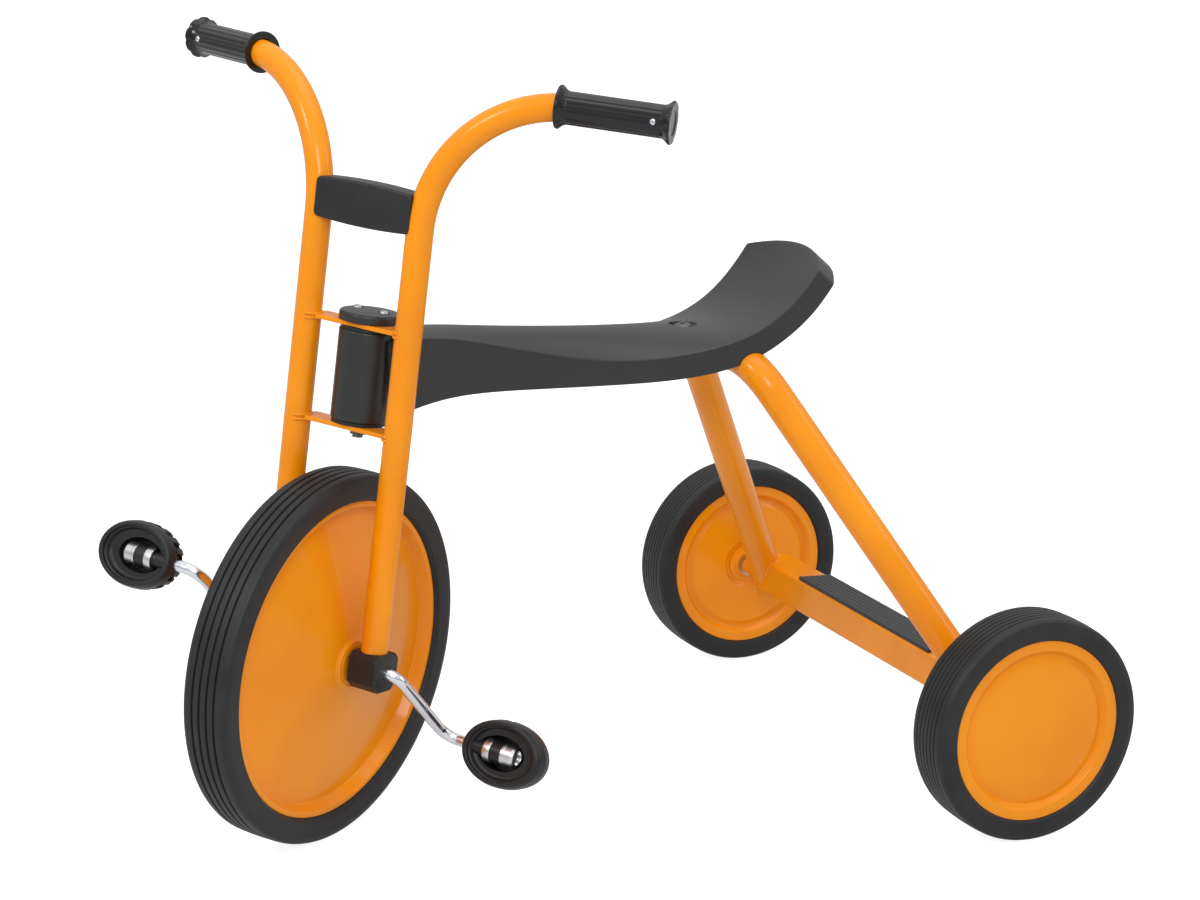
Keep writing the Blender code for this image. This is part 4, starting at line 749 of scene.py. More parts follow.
def rear_cover_mesh():
    """Closed outer pressing, its middle raised over the axle end inside a ring groove."""
    back, face = rear_disc_outline()
    floor_radius = face[-1][0]
    dome = []
    for step in range(REAR_DOME_STEPS - 1, -1, -1):
        share = step / REAR_DOME_STEPS
        dome.append((floor_radius * share, REAR_FLOOR + REAR_DOME_RISE * (1 - share ** REAR_DOME_POWER)))
    under = [(radius, height - DISC_WALL) for radius, height in reversed(dome)]
    outline = eased(face + dome[:1], 5) + dome[1:] + under + eased([under[-1]] + back + [face[0]], 4)[1:-1]
    return lathe(outline, 144, closed=False)


def rear_disc_mesh():
    """Inner pressing: the same groove as the cover's, then a step down to the hub's seat."""
    back, face = rear_disc_outline()
    bore = REAR_HUB_RADIUS + SEAT_GAP
    edge = face[-1][0]
    raised = REAR_FLOOR + REAR_DISC_RISE
    middle = [(edge - 0.003, REAR_FLOOR, 0.002), (edge - 0.008, raised, 0.004),
              (REAR_HUB_FLANGE_RADIUS + 0.007, raised, 0.003),
              (REAR_HUB_FLANGE_RADIUS + 0.003, REAR_FLOOR, 0.0015)]
    collar = [(bore, REAR_FLOOR, 0.0004), (bore, REAR_FLOOR - DISC_WALL)]
    return turned(face + middle + collar + back, 5, 144)


def rear_hub_mesh():
    """Hub tube with a stepped flange on the inner side."""
    face = REAR_FLOOR + SEAT_GAP
    top = face + REAR_HUB_STAND
    low = -REAR_FLOOR + DISC_WALL + REAR_HUB_END_GAP
    bore = REAR_HUB_RADIUS - REAR_HUB_WALL
    outline = [(bore, top), (REAR_HUB_RADIUS, top, 0.0012), (REAR_HUB_RADIUS, face + 0.0022, 0.0012),
               (REAR_HUB_FLANGE_RADIUS, face + 0.0015, 0.0007), (REAR_HUB_FLANGE_RADIUS, face),
               (REAR_HUB_RADIUS, face), (REAR_HUB_RADIUS, low), (bore, low)]
    return turned(outline, 3, 64)


def front_wheel():
    radius = cad_turned_radius("front_tyre", HUB, FRONT_SIDES_IN_CAD)
    tyre = tyre_mesh(radius, FRONT_TYRE_WIDTH, FRONT_RIM_RADIUS, FRONT_RIM_RECESS, FRONT_GROOVES,
                     FRONT_GROOVE, 192)
    piece("tyre_front", tyre, "front_wheel", "black_rubber", ["front_tyre"], outboard(HUB, 1))
    for side, label in SIDES:
        piece(f"wheel_disc_front_{label}", front_disc_mesh(), "front_wheel", "yellow_paint",
              [f"front_disc_{label}"], outboard(HUB, side))
    half = FRONT_HUB_LENGTH / 2
    hub = tube_mesh(CRANK_RADIUS + 2 * PRESS_GAP, FRONT_HUB_RADIUS, -half, half, 0.0008)
    piece("wheel_hub_front", hub, "front_wheel", "yellow_paint", ["front_hub"], outboard(HUB, 1))


def rear_wheel(side, label):
    """Tyre and cover face outboard, the inner disc and the hub face the frame."""
    centre = moved(REAR_AXLE.x, side * REAR_AXLE.y, REAR_AXLE.z)
    tyre = tyre_mesh(REAR_AXLE.z, REAR_TYRE_WIDTH, REAR_RIM_RADIUS, REAR_RIM_RECESS, REAR_GROOVES,
                     REAR_GROOVE, 160)
    rows = (("tyre", "tyre", tyre, "black_rubber", side),
            ("wheel_cover", "cover", rear_cover_mesh(), "yellow_paint", side),
            ("wheel_disc", "disc", rear_disc_mesh(), "yellow_paint", -side),
            ("wheel_hub", "hub", rear_hub_mesh(), "yellow_paint", -side))
    for name, node, mesh, slot, facing in rows:
        piece(f"{name}_rear_{label}", mesh, f"{label}_rear_wheel", slot, [f"rear_{node}_{label}"],
              outboard(centre, facing))


# Fork, handlebar and steering head

def handlebar_direction(side):
    sweep_angle = math.radians(HANDLEBAR_SWEEP_DEG)
    return Vector((-math.sin(sweep_angle), side * math.cos(sweep_angle), 0))


def fork_path(side):
    foot_height = BLOCK_ACROSS / 2 - BLOCK_SOCKET_DEPTH + SEAT_GAP
    foot = Vector((FORK_OFFSET, side * FORK_HALF_SPAN, foot_height))
    corner = Vector((FORK_OFFSET, side * FORK_HALF_SPAN, HANDLEBAR_HEIGHT))
    end = corner + handlebar_direction(side) * HANDLEBAR_REACH
    return rounded_path([foot, corner, end], [HANDLEBAR_BEND_RADIUS], 28)


def grip_mesh():
    """Ribbed grip with flared flanges, the outer one lobed, and a closed end."""
    end = GRIP_LENGTH
    wide = GRIP_FLANGE_RADIUS
    bore = FORK_TUBE_RADIUS + SEAT_GAP
    neck = GRIP_RADIUS + GRIP_FLARE_RISE
    outline = [(bore, 0.004), (bore, 0, 0.0004), (wide, 0, 0.0009), (wide, GRIP_LIP, 0.0009),
               (neck, GRIP_FLARE, 0.003), (GRIP_RADIUS, GRIP_FLARE + 0.003, 0.002),
               (GRIP_RADIUS, end - GRIP_FLARE - 0.003, 0.002), (neck, end - GRIP_FLARE, 0.003),
               (wide, end - GRIP_LIP, 0.0009), (wide, end, 0.0011), (wide * 0.62, end - 0.0002, 0.001),
               (wide * 0.52, end - GRIP_END_DIMPLE, 0.001), (0, end - GRIP_END_DIMPLE)]

    def wave(radius, height, angle):
        """Ribs along the hand's part and lobes round the outer flange."""
        in_body = smoothstep(*GRIP_RIB_FADE, height) * smoothstep(*GRIP_RIB_FADE, end - height)
        on_skin = radius > FORK_TUBE_RADIUS + 0.001
        rib = 0.5 + 0.5 * math.cos(GRIP_RIBS * angle)
        shaped = radius + GRIP_RIB_DEPTH * (rib ** 0.6 - 1.0) * in_body * on_skin
        start, full = GRIP_LOBE_FADE
        on_lip = smoothstep(end - start, end - full, height) * smoothstep(0.60, 0.95, radius / wide)
        lobe = 0.5 - 0.5 * math.cos(GRIP_LOBES * angle)
        return shaped - GRIP_LOBE_DEPTH * lobe ** 3 * on_lip

    return lathe(refine(eased(outline, 4), 0.004), 216, closed=False, wave=wave)


def pan_head_mesh(radius, height):
    """Pan-head screw with a cross recess, its axis along Z and its seat at the origin."""
    head = turned([(0, height), (radius * 0.75, height, radius * 0.4), (radius, height * 0.35, radius * 0.2),
                   (radius, -0.001), (0, -0.001)], 4, 40, closed=False)
    slots = []
    for turn in (WORLD, quarter_turn("Z")):
        slots.append((bar_tool(radius * 0.55, radius * 0.11, height), moved(z=height) @ turn))
    return cut(head, WORLD, slots)


def grip(side, label):
    """Grip on the end of its tube, X of its frame up, and the small screw in its front."""
    outward = handlebar_direction(side)
    start = fork_path(side)[-1] + outward * (GRIP_END_WALL + SEAT_GAP - GRIP_LENGTH)
    place = FORK @ three_axes(start, UP, outward.cross(UP), outward)
    piece(f"handlebar_grip_{label}", grip_mesh(), "fork", "black_plastic", [f"grip_{label}"], place,
          "grip_vinyl")
    front = Vector((side * outward.y, -side * outward.x, 0))
    seat_at = start + outward * (GRIP_LENGTH - GRIP_SCREW_INSET)
    seat_at += front * (GRIP_RADIUS - GRIP_SCREW_SPOTFACE + SEAT_GAP)
    piece(f"handlebar_screw_{label}", pan_head_mesh(GRIP_SCREW_RADIUS, GRIP_SCREW_HEIGHT), "fork", "chrome",
          [f"grip_screw_{label}"], FORK @ three_axes(seat_at, front.cross(UP), UP, front))


def yoke_outline():
    """Plate seen from above: straight between the tubes, with a lobe round the bolt."""
    half = FORK_HALF_SPAN - YOKE_END_INSET
    back = YOKE_FRONT - YOKE_DEPTH
    start = math.asin(-back / YOKE_LOBE_RADIUS) + YOKE_LOBE_LEAN
    reach = math.sqrt(YOKE_LOBE_RADIUS ** 2 - back ** 2) + YOKE_LOBE_FILLET
    points = [(YOKE_FRONT, -half), (YOKE_FRONT, half), (back, half), (back, reach)]
    for step in range(13):
        angle = math.pi / 2 + start + (math.pi - 2 * start) * step / 12
        points.append((YOKE_LOBE_RADIUS * math.cos(angle), YOKE_LOBE_RADIUS * math.sin(angle)))
    return points + [(back, -reach), (back, -half)]


def yoke(name, node, underside):
    """Cross plate, notched round both tubes, with weld beads over and under it at each."""
    matrix = FORK @ moved(z=underside + YOKE_THICKNESS / 2)
    tools = [(cylinder_tool(YOKE_BOLT_HOLE, 0.05), FORK @ moved(z=underside))]
    for side, label in SIDES:
        tools.append((cylinder_tool(FORK_TUBE_RADIUS + PRESS_GAP, 0.05), on_fork_tube(side, underside)))
    mesh = cut(extruded(yoke_outline(), YOKE_THICKNESS, 0.0006, 2), matrix, tools)
    piece(name, mesh, "fork", "yellow_paint", [node], matrix)
    reach = FORK_TUBE_RADIUS + 0.0002
    for side, label in SIDES:
        points = []
        for step in range(41):
            angle = math.radians(YOKE_WELD_SPAN_DEG * (step / 40 - 0.5) - side * YOKE_WELD_TURN_DEG)
            points.append((reach * math.cos(angle), reach * math.sin(angle), 0))
        for level, height in (("over", underside + YOKE_THICKNESS), ("under", underside)):
            weld(f"weld_{name}_{label}_{level}", points, YOKE_WELD_RADIUS, "fork", on_fork_tube(side, height))


def head_lower_face():
    """Distance up the steering axis to the head tube's lower end, set by the main tube."""
    up = HEAD.to_3x3() @ UP
    return (MAIN_TUBE_HEIGHT - HEAD.translation.z) / up.z - HEAD_BELOW_TUBE


def steering_head():
    """Head tube, plates, cap and its screws."""
    low = head_lower_face()
    barrel = tube_mesh(HEAD_RADIUS - HEAD_WALL, HEAD_RADIUS, low, low + HEAD_LENGTH, 0.0018, 4, 96)
    piece("steering_barrel", barrel, "frame", "black_plastic", ["head_tube"], HEAD, "gloss_black")
    running = HEAD_BUSH_FLANGE + 2 * SEAT_GAP
    upper = low + HEAD_LENGTH + running
    yoke("yoke_plate_upper", "upper_yoke", upper)
    yoke("yoke_plate_lower", "lower_yoke", low - running - YOKE_THICKNESS)
    base = upper + YOKE_THICKNESS + SEAT_GAP
    top = base + CAP_HEIGHT
    cap = turned([(0, top + CAP_DOME), (CAP_RADIUS * 0.5, top + CAP_DOME * 0.8, 0.006),
                  (CAP_RADIUS - 0.0012, top, 0.002), (CAP_RADIUS, top - 0.002, 0.0016),
                  (CAP_RADIUS, base, 0.0008), (CAP_RADIUS - 0.003, base), (0, base + 0.0045)],
                 5, 96, closed=False)
    spotfaces = [(cylinder_tool(CAP_SCREW_RADIUS + 0.0012, 0.010, 48),
                  FORK @ moved(y=side * CAP_SCREW_SPACING / 2, z=top + 0.005)) for side, label in SIDES]
    piece("head_cap", cut(cap, FORK, spotfaces), "fork", "black_plastic", ["steering_cap"], FORK,
          "gloss_black")
    for side, label in SIDES:
        piece(f"head_cap_screw_{label}", pan_head_mesh(CAP_SCREW_RADIUS, CAP_SCREW_HEIGHT), "fork", "steel",
              [f"cap_screw_{label}"], FORK @ moved(y=side * CAP_SCREW_SPACING / 2, z=top + SEAT_GAP))


def pad_outline():
    """Front outline of the pad: rounded corners, top and bottom gently arched."""
    shoulder = PAD_HEIGHT / 2 - PAD_CROWN / 2
    reach = PAD_HALF_LENGTH - PAD_ROUNDING
    quarter = []
    for step in range(13):
        share = step / 12
        quarter.append((reach * share, shoulder + PAD_CROWN / 2 * (1 - share * share)))
    for step in range(1, 7):
        lean = math.radians(15 * step)
        drop = PAD_ROUNDING * (1 - math.cos(lean))
        quarter.append((reach + PAD_ROUNDING * math.sin(lean), shoulder - drop))
    right = quarter + [(x, -y) for x, y in reversed(quarter)]
    return right + [(-x, y) for x, y in reversed(right)][1:-1]


def fork_pad():
    """Moulded pad between the tubes, with soft edges and ends hollowed to fit round them."""
    matrix = FORK @ moved(PAD_FRONT + FORK_OFFSET - PAD_DEPTH / 2, 0, PAD_CENTRE_HEIGHT)
    matrix = matrix @ quarter_turn("Z") @ quarter_turn("X")
    mesh = extruded(pad_outline(), PAD_DEPTH, 0.0022, 4)
    tools = [(sweep(fork_path(side), FORK_TUBE_RADIUS + SEAT_GAP), FORK) for side, label in SIDES]
    piece("handlebar_pad", cut(mesh, matrix, tools), "fork", "black_plastic", ["fork_pad"], matrix)


def axle_block(side, label):
    """Eight-sided bearing block with a socket for the tube and a bore for the crank."""
    half = BLOCK_ACROSS / 2
    upper, lower = (half - chamfer for chamfer in BLOCK_CHAMFERS)
    outline = []
    for x, y in ((half, upper), (upper, half), (-upper, half), (-half, upper),
                 (-half, -lower), (-lower, -half), (lower, -half), (half, -lower)):
        outline.append((x, y, 0.003))
    matrix = on_fork_tube(side, 0) @ quarter_turn("X")
    mesh = extruded(eased(outline, 4, closed=True), BLOCK_LENGTH, 0.0018, 4)
    socket = cylinder_tool(FORK_TUBE_RADIUS + SEAT_GAP, 0.04)
    tools = [(socket, on_fork_tube(side, half - BLOCK_SOCKET_DEPTH + 0.02)),
             (cylinder_tool(CRANK_RADIUS + SEAT_GAP, 0.06), matrix)]
    piece(f"axle_bearing_block_{label}", cut(mesh, matrix, tools), "fork", "black_plastic",
          [f"axle_block_{label}"], matrix)


def fork():
    for side, label in SIDES:
        piece(f"fork_bar_{label}", sweep(fork_path(side), FORK_TUBE_RADIUS, 64), "fork", "yellow_paint",
              [f"fork_tube_{label}"], FORK)
        grip(side, label)
        axle_block(side, label)
    steering_head()
    fork_pad()


# Crank and pedals

def crank():
    """One bent chrome rod, spindle to spindle, its ends inside the cap nuts."""
    reach = PEDAL_CENTRE + PEDAL_NUT_THREAD
    corners = [Vector((-CRANK_THROW, reach, 0)), Vector((-CRANK_THROW, CRANK_ARM_END, 0)),
               Vector((0, CRANK_ARM_START, 0))]
    corners += [-corner for corner in reversed(corners)]
    bends = [CRANK_OUTER_BEND, CRANK_INNER_BEND, CRANK_INNER_BEND, CRANK_OUTER_BEND]
    rod = sweep(rounded_path(corners, bends, 16), CRANK_RADIUS, 40)
    piece("crank_rod", rod, "front_wheel", "chrome", ["crank"], HUB)


def pedal_frame(side):
    """Frame at the pedal's middle: X outboard along the spindle, Z out of its open side."""
    turn = math.radians(PEDAL_TURN_DEG)
    face = Vector((math.cos(turn), 0, -math.sin(turn)))
    along = Vector((0, side, 0))
    centre = (-side * CRANK_THROW, side * PEDAL_CENTRE, 0)
    return HUB @ three_axes(centre, along, face.cross(along), face)


def pedal_shell():
    """Oval cup: rolled rim, slightly bulged side, tread lugs round the inboard half, closed back."""
    wide = PEDAL_HALF_HEIGHT
    mouth = PEDAL_MOUTH_RADIUS
    outline = [(0, PEDAL_DISH), (mouth - 0.0036, PEDAL_DISH, 0.003),
               (mouth - 0.0016, PEDAL_FRONT - 0.0034, 0.0006),
               (mouth - 0.0006, PEDAL_FRONT - 0.003, 0.0004), (mouth, PEDAL_FRONT, 0.0008),
               (wide - 0.0026, PEDAL_FRONT, 0.0018), (wide - 0.0008, PEDAL_FRONT - 0.0044, 0.003),
               (wide, 0, 0.006), (wide - 0.0009, -0.0085, 0.003),
               (wide - 0.004, -PEDAL_BACK + 0.0022, 0.0012), (wide - 0.0068, -PEDAL_BACK, 0.0012),
               (0, -PEDAL_BACK)]
    pitch = math.tau / PEDAL_LUG_COUNT
    phase = math.radians(PEDAL_LUG_PHASE_DEG)
    half_gap = PEDAL_LUG_GAP / 2

    def wave(radius, height, angle):
        """Sinks the gaps between the lugs, which stand only round the inboard half."""
        if radius < mouth or height > PEDAL_LUG_TOP:
            return radius
        middle = (math.floor((angle - phase) / pitch + 0.5)) * pitch + phase
        if math.cos(middle) > PEDAL_LUG_REACH:
            return radius
        aside = abs(angle - middle) * radius
        gap = 1 - smoothstep(half_gap - 0.0004, half_gap + 0.0004, aside)
        front_end = 1 - smoothstep(PEDAL_LUG_TOP - 0.0014, PEDAL_LUG_TOP, height)
        return radius - min(PEDAL_LUG_DEPTH, radius - mouth + 0.003) * gap * front_end

    mesh = lathe(refine(eased(outline, 5), 0.0013), 360, closed=False, wave=wave)
    mesh.transform(Matrix.Diagonal((PEDAL_HALF_LENGTH / wide, 1, 1, 1)))
    return mesh


def pedal_mesh():
    """The cup, the oval well in its floor, and the bearing hub and boss bored for the spindle."""
    along = quarter_turn("Y")
    collar_end = -PEDAL_HUB_LENGTH - PEDAL_COLLAR_LENGTH - 3 * SEAT_GAP
    half_length, half_width = PEDAL_WELL
    well = cylinder_tool(half_width, 2 * PEDAL_WELL_DEPTH, 96)
    well.transform(Matrix.Diagonal((half_length / half_width, 1, 1, 1)))
    mesh = cut(pedal_shell(), WORLD, [(well, moved((PEDAL_NUT_HEIGHT + collar_end) / 2))])
    half = PEDAL_HUB_LENGTH / 2
    deep = PEDAL_WELL_DEPTH + 0.001
    hub_middle = -SEAT_GAP - half
    boss_start = -PEDAL_HALF_LENGTH + 0.004
    boss = cylinder_tool(PEDAL_BOSS_RADIUS, collar_end - boss_start)
    hub = [(cylinder_tool(PEDAL_HUB_RADIUS, 2 * half), moved(hub_middle) @ along),
           (bar_tool(half, PEDAL_HUB_RADIUS * 0.8, deep), moved(hub_middle, 0, -deep / 2)),
           (boss, moved((collar_end + boss_start) / 2) @ along)]
    mesh = cut(mesh, WORLD, hub, "UNION")
    bore_length = PEDAL_HALF_LENGTH + 0.01
    bore = cylinder_tool(CRANK_RADIUS + SEAT_GAP, bore_length)
    return cut(mesh, WORLD, [(bore, moved(0.001 - bore_length / 2) @ along)])


def pedal(side, label):
    """Cup on its own body; the cap nut and the stop collar are fast on the crank."""
    place = pedal_frame(side)
    spindle = place @ quarter_turn("Y")
    piece(f"pedal_cup_{label}", pedal_mesh(), f"{label}_pedal", "black_plastic", [f"pedal_{label}"], place)
    high = PEDAL_NUT_HEIGHT
    size = PEDAL_NUT_RADIUS
    nut = turned([(0, high - 0.0042), (size * 0.50, high - 0.0042, 0.001), (size * 0.60, high, 0.0008),
                  (size * 0.80, high - 0.0003, 0.0016), (size * 0.94, high - 0.0028, 0.002),
                  (size * 0.95, 0.003, 0.0006), (size, 0.0024, 0.0005), (size, 0), (0, 0)],
                 5, 64, closed=False)
    piece(f"pedal_cap_nut_{label}", nut, "front_wheel", "chrome", [f"pedal_nut_{label}"], spindle,
          "satin_chrome")
    high = -PEDAL_HUB_LENGTH - 2 * SEAT_GAP
    collar = tube_mesh(CRANK_RADIUS + PRESS_GAP, PEDAL_COLLAR_RADIUS, high - PEDAL_COLLAR_LENGTH, high,
                       0.0007)
    piece(f"pedal_stop_collar_{label}", collar, "front_wheel", "chrome", [f"pedal_collar_{label}"], spindle,
          "satin_chrome")


# Rear frame

def hoop_corner(side):
    return Vector((REAR_AXLE.x + HOOP_FORWARD, side * HOOP_HALF_SPAN, HOOP_HEIGHT))


def leg_foot(side):
    return Vector((REAR_AXLE.x, side * LEG_HALF_SPAN, REAR_AXLE.z))


def leg_end(side):
    foot = leg_foot(side)
    return foot + (foot - hoop_corner(side)).normalized() * LEG_TAIL


def hoop_path():
    corners = [leg_end(1), hoop_corner(1), hoop_corner(-1), leg_end(-1)]
    return rounded_path(corners, [HOOP_BEND_RADIUS] * 2, 18)


def on_leg(point, direction, side, reach):
    """Where a line along the direction meets the leg's skin, or passes it nearest."""
    axis = (hoop_corner(side) - leg_foot(side)).normalized()
    start = point - leg_foot(side)
    across = start - axis * start.dot(axis)
    along = direction - axis * direction.dot(axis)
    square = along.dot(along)
    middle = -across.dot(along) / square
    miss = across.dot(across) - across.dot(along) ** 2 / square
    depth = math.sqrt(max(0.0, reach * reach - miss) / square)
    return point + direction * (middle - depth)


def crossbar():
    """Rectangular tube with rounded corners, each end coped to its leg and welded over and under."""
    low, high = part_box("crossbar")
    middle = (low.z + high.z) / 2
    ease = CROSSBAR_ROUNDING
    corners = [(low.x, low.z, ease), (high.x, low.z, ease), (high.x, high.z, ease), (low.x, high.z, ease)]
    outline = eased(corners, 6, closed=True)
    outline = refine(outline + outline[:1], 0.002)
    form = bmesh.new()
    rings = []
    for side, label in SIDES:
        ring = []
        for x, z in outline[:-1]:
            point = on_leg(Vector((x, 0, z)), Vector((0, side, 0)), side, LEG_RADIUS - 0.0004)
            ring.append(form.verts.new(point))
        rings.append(ring)
    join_rings(form, *rings)
    for ring in rings:
        form.faces.new(ring)
    piece("crossbar_tube", finish_mesh(form), "frame", "yellow_paint", ["crossbar"])
    for side, label in SIDES:
        bead = []
        for x, z in outline:
            if abs(x - REAR_AXLE.x) < CROSSBAR_WELD_REACH:
                bead.append(on_leg(Vector((x, 0, z)), Vector((0, side, 0)), side, LEG_RADIUS + 0.0004))
        bead.sort(key=lambda point: point.x)
        over = [point for point in bead if point.z > middle]
        under = [point for point in bead if point.z <= middle]
        for level, points in (("over", over), ("under", under)):
            weld(f"weld_crossbar_{label}_{level}", points, CROSSBAR_WELD_RADIUS, "frame")


def step_mat():
    """Grooved rubber mat with mitred ends, longer along its front edge than at the back."""
    low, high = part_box("step_mat")
    thickness = high.z - low.z
    width = high.x - low.x
    pitch = width / MAT_RIBS
    groove = thickness - MAT_GROOVE
    outline = [(-width / 2, 0), (-width / 2, thickness, 0.0014)]
    for rib in range(1, MAT_RIBS):
        edge = -width / 2 + rib * pitch
        outline += [(edge - pitch * 0.1, thickness, 0.0004), (edge, groove, 0.0002),
                    (edge + pitch * 0.1, groove, 0.0003), (edge + pitch * 0.2, thickness, 0.0005)]
    outline += [(width / 2, thickness, 0.0014), (width / 2, 0)]
    mesh = extruded(eased(outline, 3, closed=True), high.y - low.y)
    for vertex in mesh.vertices:
        forward = 0.5 + vertex.co.x / width
        vertex.co.z += math.copysign(MAT_MITRE * forward, vertex.co.z)
    matrix = moved((low.x + high.x) / 2, 0, low.z) @ quarter_turn("X")
    piece("step_tread_mat", mesh, "frame", "black_rubber", ["step_mat"], matrix, "mat_rubber")


def sleeve_weld(side, label, place, facing):
    """Bead where the axle sleeve meets the leg, on its outer or its inner side."""
    reach = SLEEVE_RADIUS + 0.0003
    start = side * 0.3 if facing > 0 else 0
    points = []
    for step in range(49):
        angle = math.tau * step / 48
        rim = Vector((REAR_AXLE.x + reach * math.cos(angle), start, REAR_AXLE.z + reach * math.sin(angle)))
        points.append(on_leg(rim, Vector((0, -side * facing, 0)), side, LEG_RADIUS))
    weld(f"weld_sleeve_{label}_{place}", points, SLEEVE_WELD_RADIUS, "frame")


def rear_frame():
    piece("hoop_tube", sweep(hoop_path(), LEG_RADIUS, 64), "frame", "yellow_paint", ["rear_hoop"])
    low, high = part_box("axle_sleeve")
    sleeve = tube_mesh(SLEEVE_BORE, SLEEVE_RADIUS, low.y, high.y, 0.0008)
    piece("axle_sleeve_tube", sleeve, "frame", "yellow_paint", ["axle_sleeve"],
          outboard(moved(REAR_AXLE.x, 0, REAR_AXLE.z), 1))
    crossbar()
    step_mat()
    for side, label in SIDES:
        sleeve_weld(side, label, "outer", 1)
        sleeve_weld(side, label, "inner", -1)


# Seat

def seat_section(half_width, crown, edge, rim, centre_x, edge_x, rim_x):
    """Half section: crown centre, one point on the crowned top, edge, mid side and rim."""
    points = []
    for share in SEAT_CROWN_SHARES:
        fall = share ** SEAT_CROWN_POWER
        x = centre_x + (edge_x - centre_x) * fall
        points.append((x, half_width * share, crown + (edge - crown) * fall))
    points.append(((edge_x + rim_x) / 2, half_width - SEAT_SIDE_DRAFT * 0.3, edge + (rim - edge) * 0.5))
    points.append((rim_x, half_width - SEAT_SIDE_DRAFT, rim))
    return points


def main_tube_line():
    """Centre line of the hidden main tube, from the head's axis back to the hoop."""
    start = HEAD.translation
    up = (HEAD.to_3x3() @ UP).normalized()
    front = start + up * ((MAIN_TUBE_HEIGHT - start.z) / up.z)
    return front, Vector((REAR_AXLE.x + HOOP_FORWARD, 0, HOOP_HEIGHT))


def tube_line_point(share):
    """Place on the main tube's centre line, level with the hoop behind it."""
    front, back = main_tube_line()
    rise = (front.z - back.z) * max(0.0, share)
    return Vector((back.x + (front.x - back.x) * share, 0, back.z + rise))


def seat_cage():
    """Left half of the seat's outer skin, open below and at the head."""
    rows = []
    for share, half_width, crown, edge, rim, set_back in SEAT_STATIONS:
        x, y, z = tube_line_point(share)
        rows.append(seat_section(half_width, z + crown, z + edge, z + rim, x, x, x - set_back))
    lean = math.radians(SEAT_REAR_LEAN_DEG)
    down = Vector((-math.sin(lean), 0, -math.cos(lean))) * SEAT_REAR_THICKNESS
    rear = tube_line_point(SEAT_REAR_EDGE[0])
    corner = tube_line_point(SEAT_REAR_CORNER[0])
    corner_z = corner.z + SEAT_REAR_CORNER[2]
    rows.append(seat_section(SEAT_REAR_CORNER[1], rear.z + SEAT_REAR_EDGE[1], corner_z, corner_z + down.z,
                             rear.x, corner.x, corner.x + down.x))
    form = bmesh.new()
    grid = [[form.verts.new(point) for point in row] for row in rows]
    for row, following in zip(grid, grid[1:]):
        for column in range(len(row) - 1):
            form.faces.new((row[column], row[column + 1], following[column + 1], following[column]))
    last = grid[-1]
    middle = [form.verts.new(Vector(last[column].co) + down * 0.5) for column in range(2)] + [last[3]]
    lowest = [form.verts.new(Vector(last[column].co) + down) for column in range(2)] + [last[4]]
    for upper, lower in ((last[:3], middle), (middle, lowest)):
        for column in range(2):
            form.faces.new((upper[column], upper[column + 1], lower[column + 1], lower[column]))
    crease = form.edges.layers.float.new("crease_edge")
    for row, following in zip(grid, grid[1:]):
        form.edges.get((row[2], following[2]))[crease] = SEAT_CREASE
    for first, second in zip(last[:4], last[1:5]):
        form.edges.get((first, second))[crease] = SEAT_REAR_CREASE
    bmesh.ops.recalc_face_normals(form, faces=form.faces)
    return to_mesh(form)


def seat_shell():
    """The moulded skin as one closed mesh: mirrored, softened and given its wall."""
    item = linked("seat_cage", seat_cage())
    mirror = item.modifiers.new("mirror", "MIRROR")
    mirror.use_axis = (False, True, False)
    mirror.merge_threshold = 0.0001
    mirror.use_clip = True
    item.modifiers.new("soften", "SUBSURF").levels = 4
    shell = item.modifiers.new("wall", "SOLIDIFY")
    shell.thickness = SEAT_WALL
    shell.offset = -1
    shell.use_even_offset = True
    return evaluated(item)


def seat_crown_at_bolt():
    """Point on the seat's crown at the bolt, between its two nearest stations."""
    point = tube_line_point(SEAT_BOLT_SHARE)
    for ahead, behind in zip(SEAT_STATIONS, SEAT_STATIONS[1:]):
        if behind[0] <= SEAT_BOLT_SHARE <= ahead[0]:
            share = (SEAT_BOLT_SHARE - behind[0]) / (ahead[0] - behind[0])
            point.z += behind[2] + (ahead[2] - behind[2]) * share
    return point


def recess_tool():
    """Round pocket with an eased rim, its floor at the origin."""
    radius = SEAT_RECESS_RADIUS
    outline = [(0, 0.02), (radius + 0.004, 0.02), (radius + 0.0016, SEAT_RECESS_DEPTH + 0.0008, 0.002),
               (radius - 0.0004, 0, 0.0012), (0, 0)]
    return turned(outline, 5, 64, closed=False)


def seat_bolt_mesh():
    """Low domed bolt head with a six-sided socket."""
    height = SEAT_BOLT_HEAD_HEIGHT
    radius = SEAT_BOLT_HEAD_RADIUS
    head = turned([(0, height), (radius * 0.6, height - 0.0002, 0.002), (radius, height - 0.0018, 0.001),
                   (radius, 0), (0, 0)], 4, 48, closed=False)
    corners = []
    for index in range(6):
        angle = math.tau * index / 6
        corners.append((SEAT_BOLT_SOCKET * math.cos(angle), SEAT_BOLT_SOCKET * math.sin(angle)))
    return cut(head, WORLD, [(extruded(corners, 0.004), moved(z=height))])


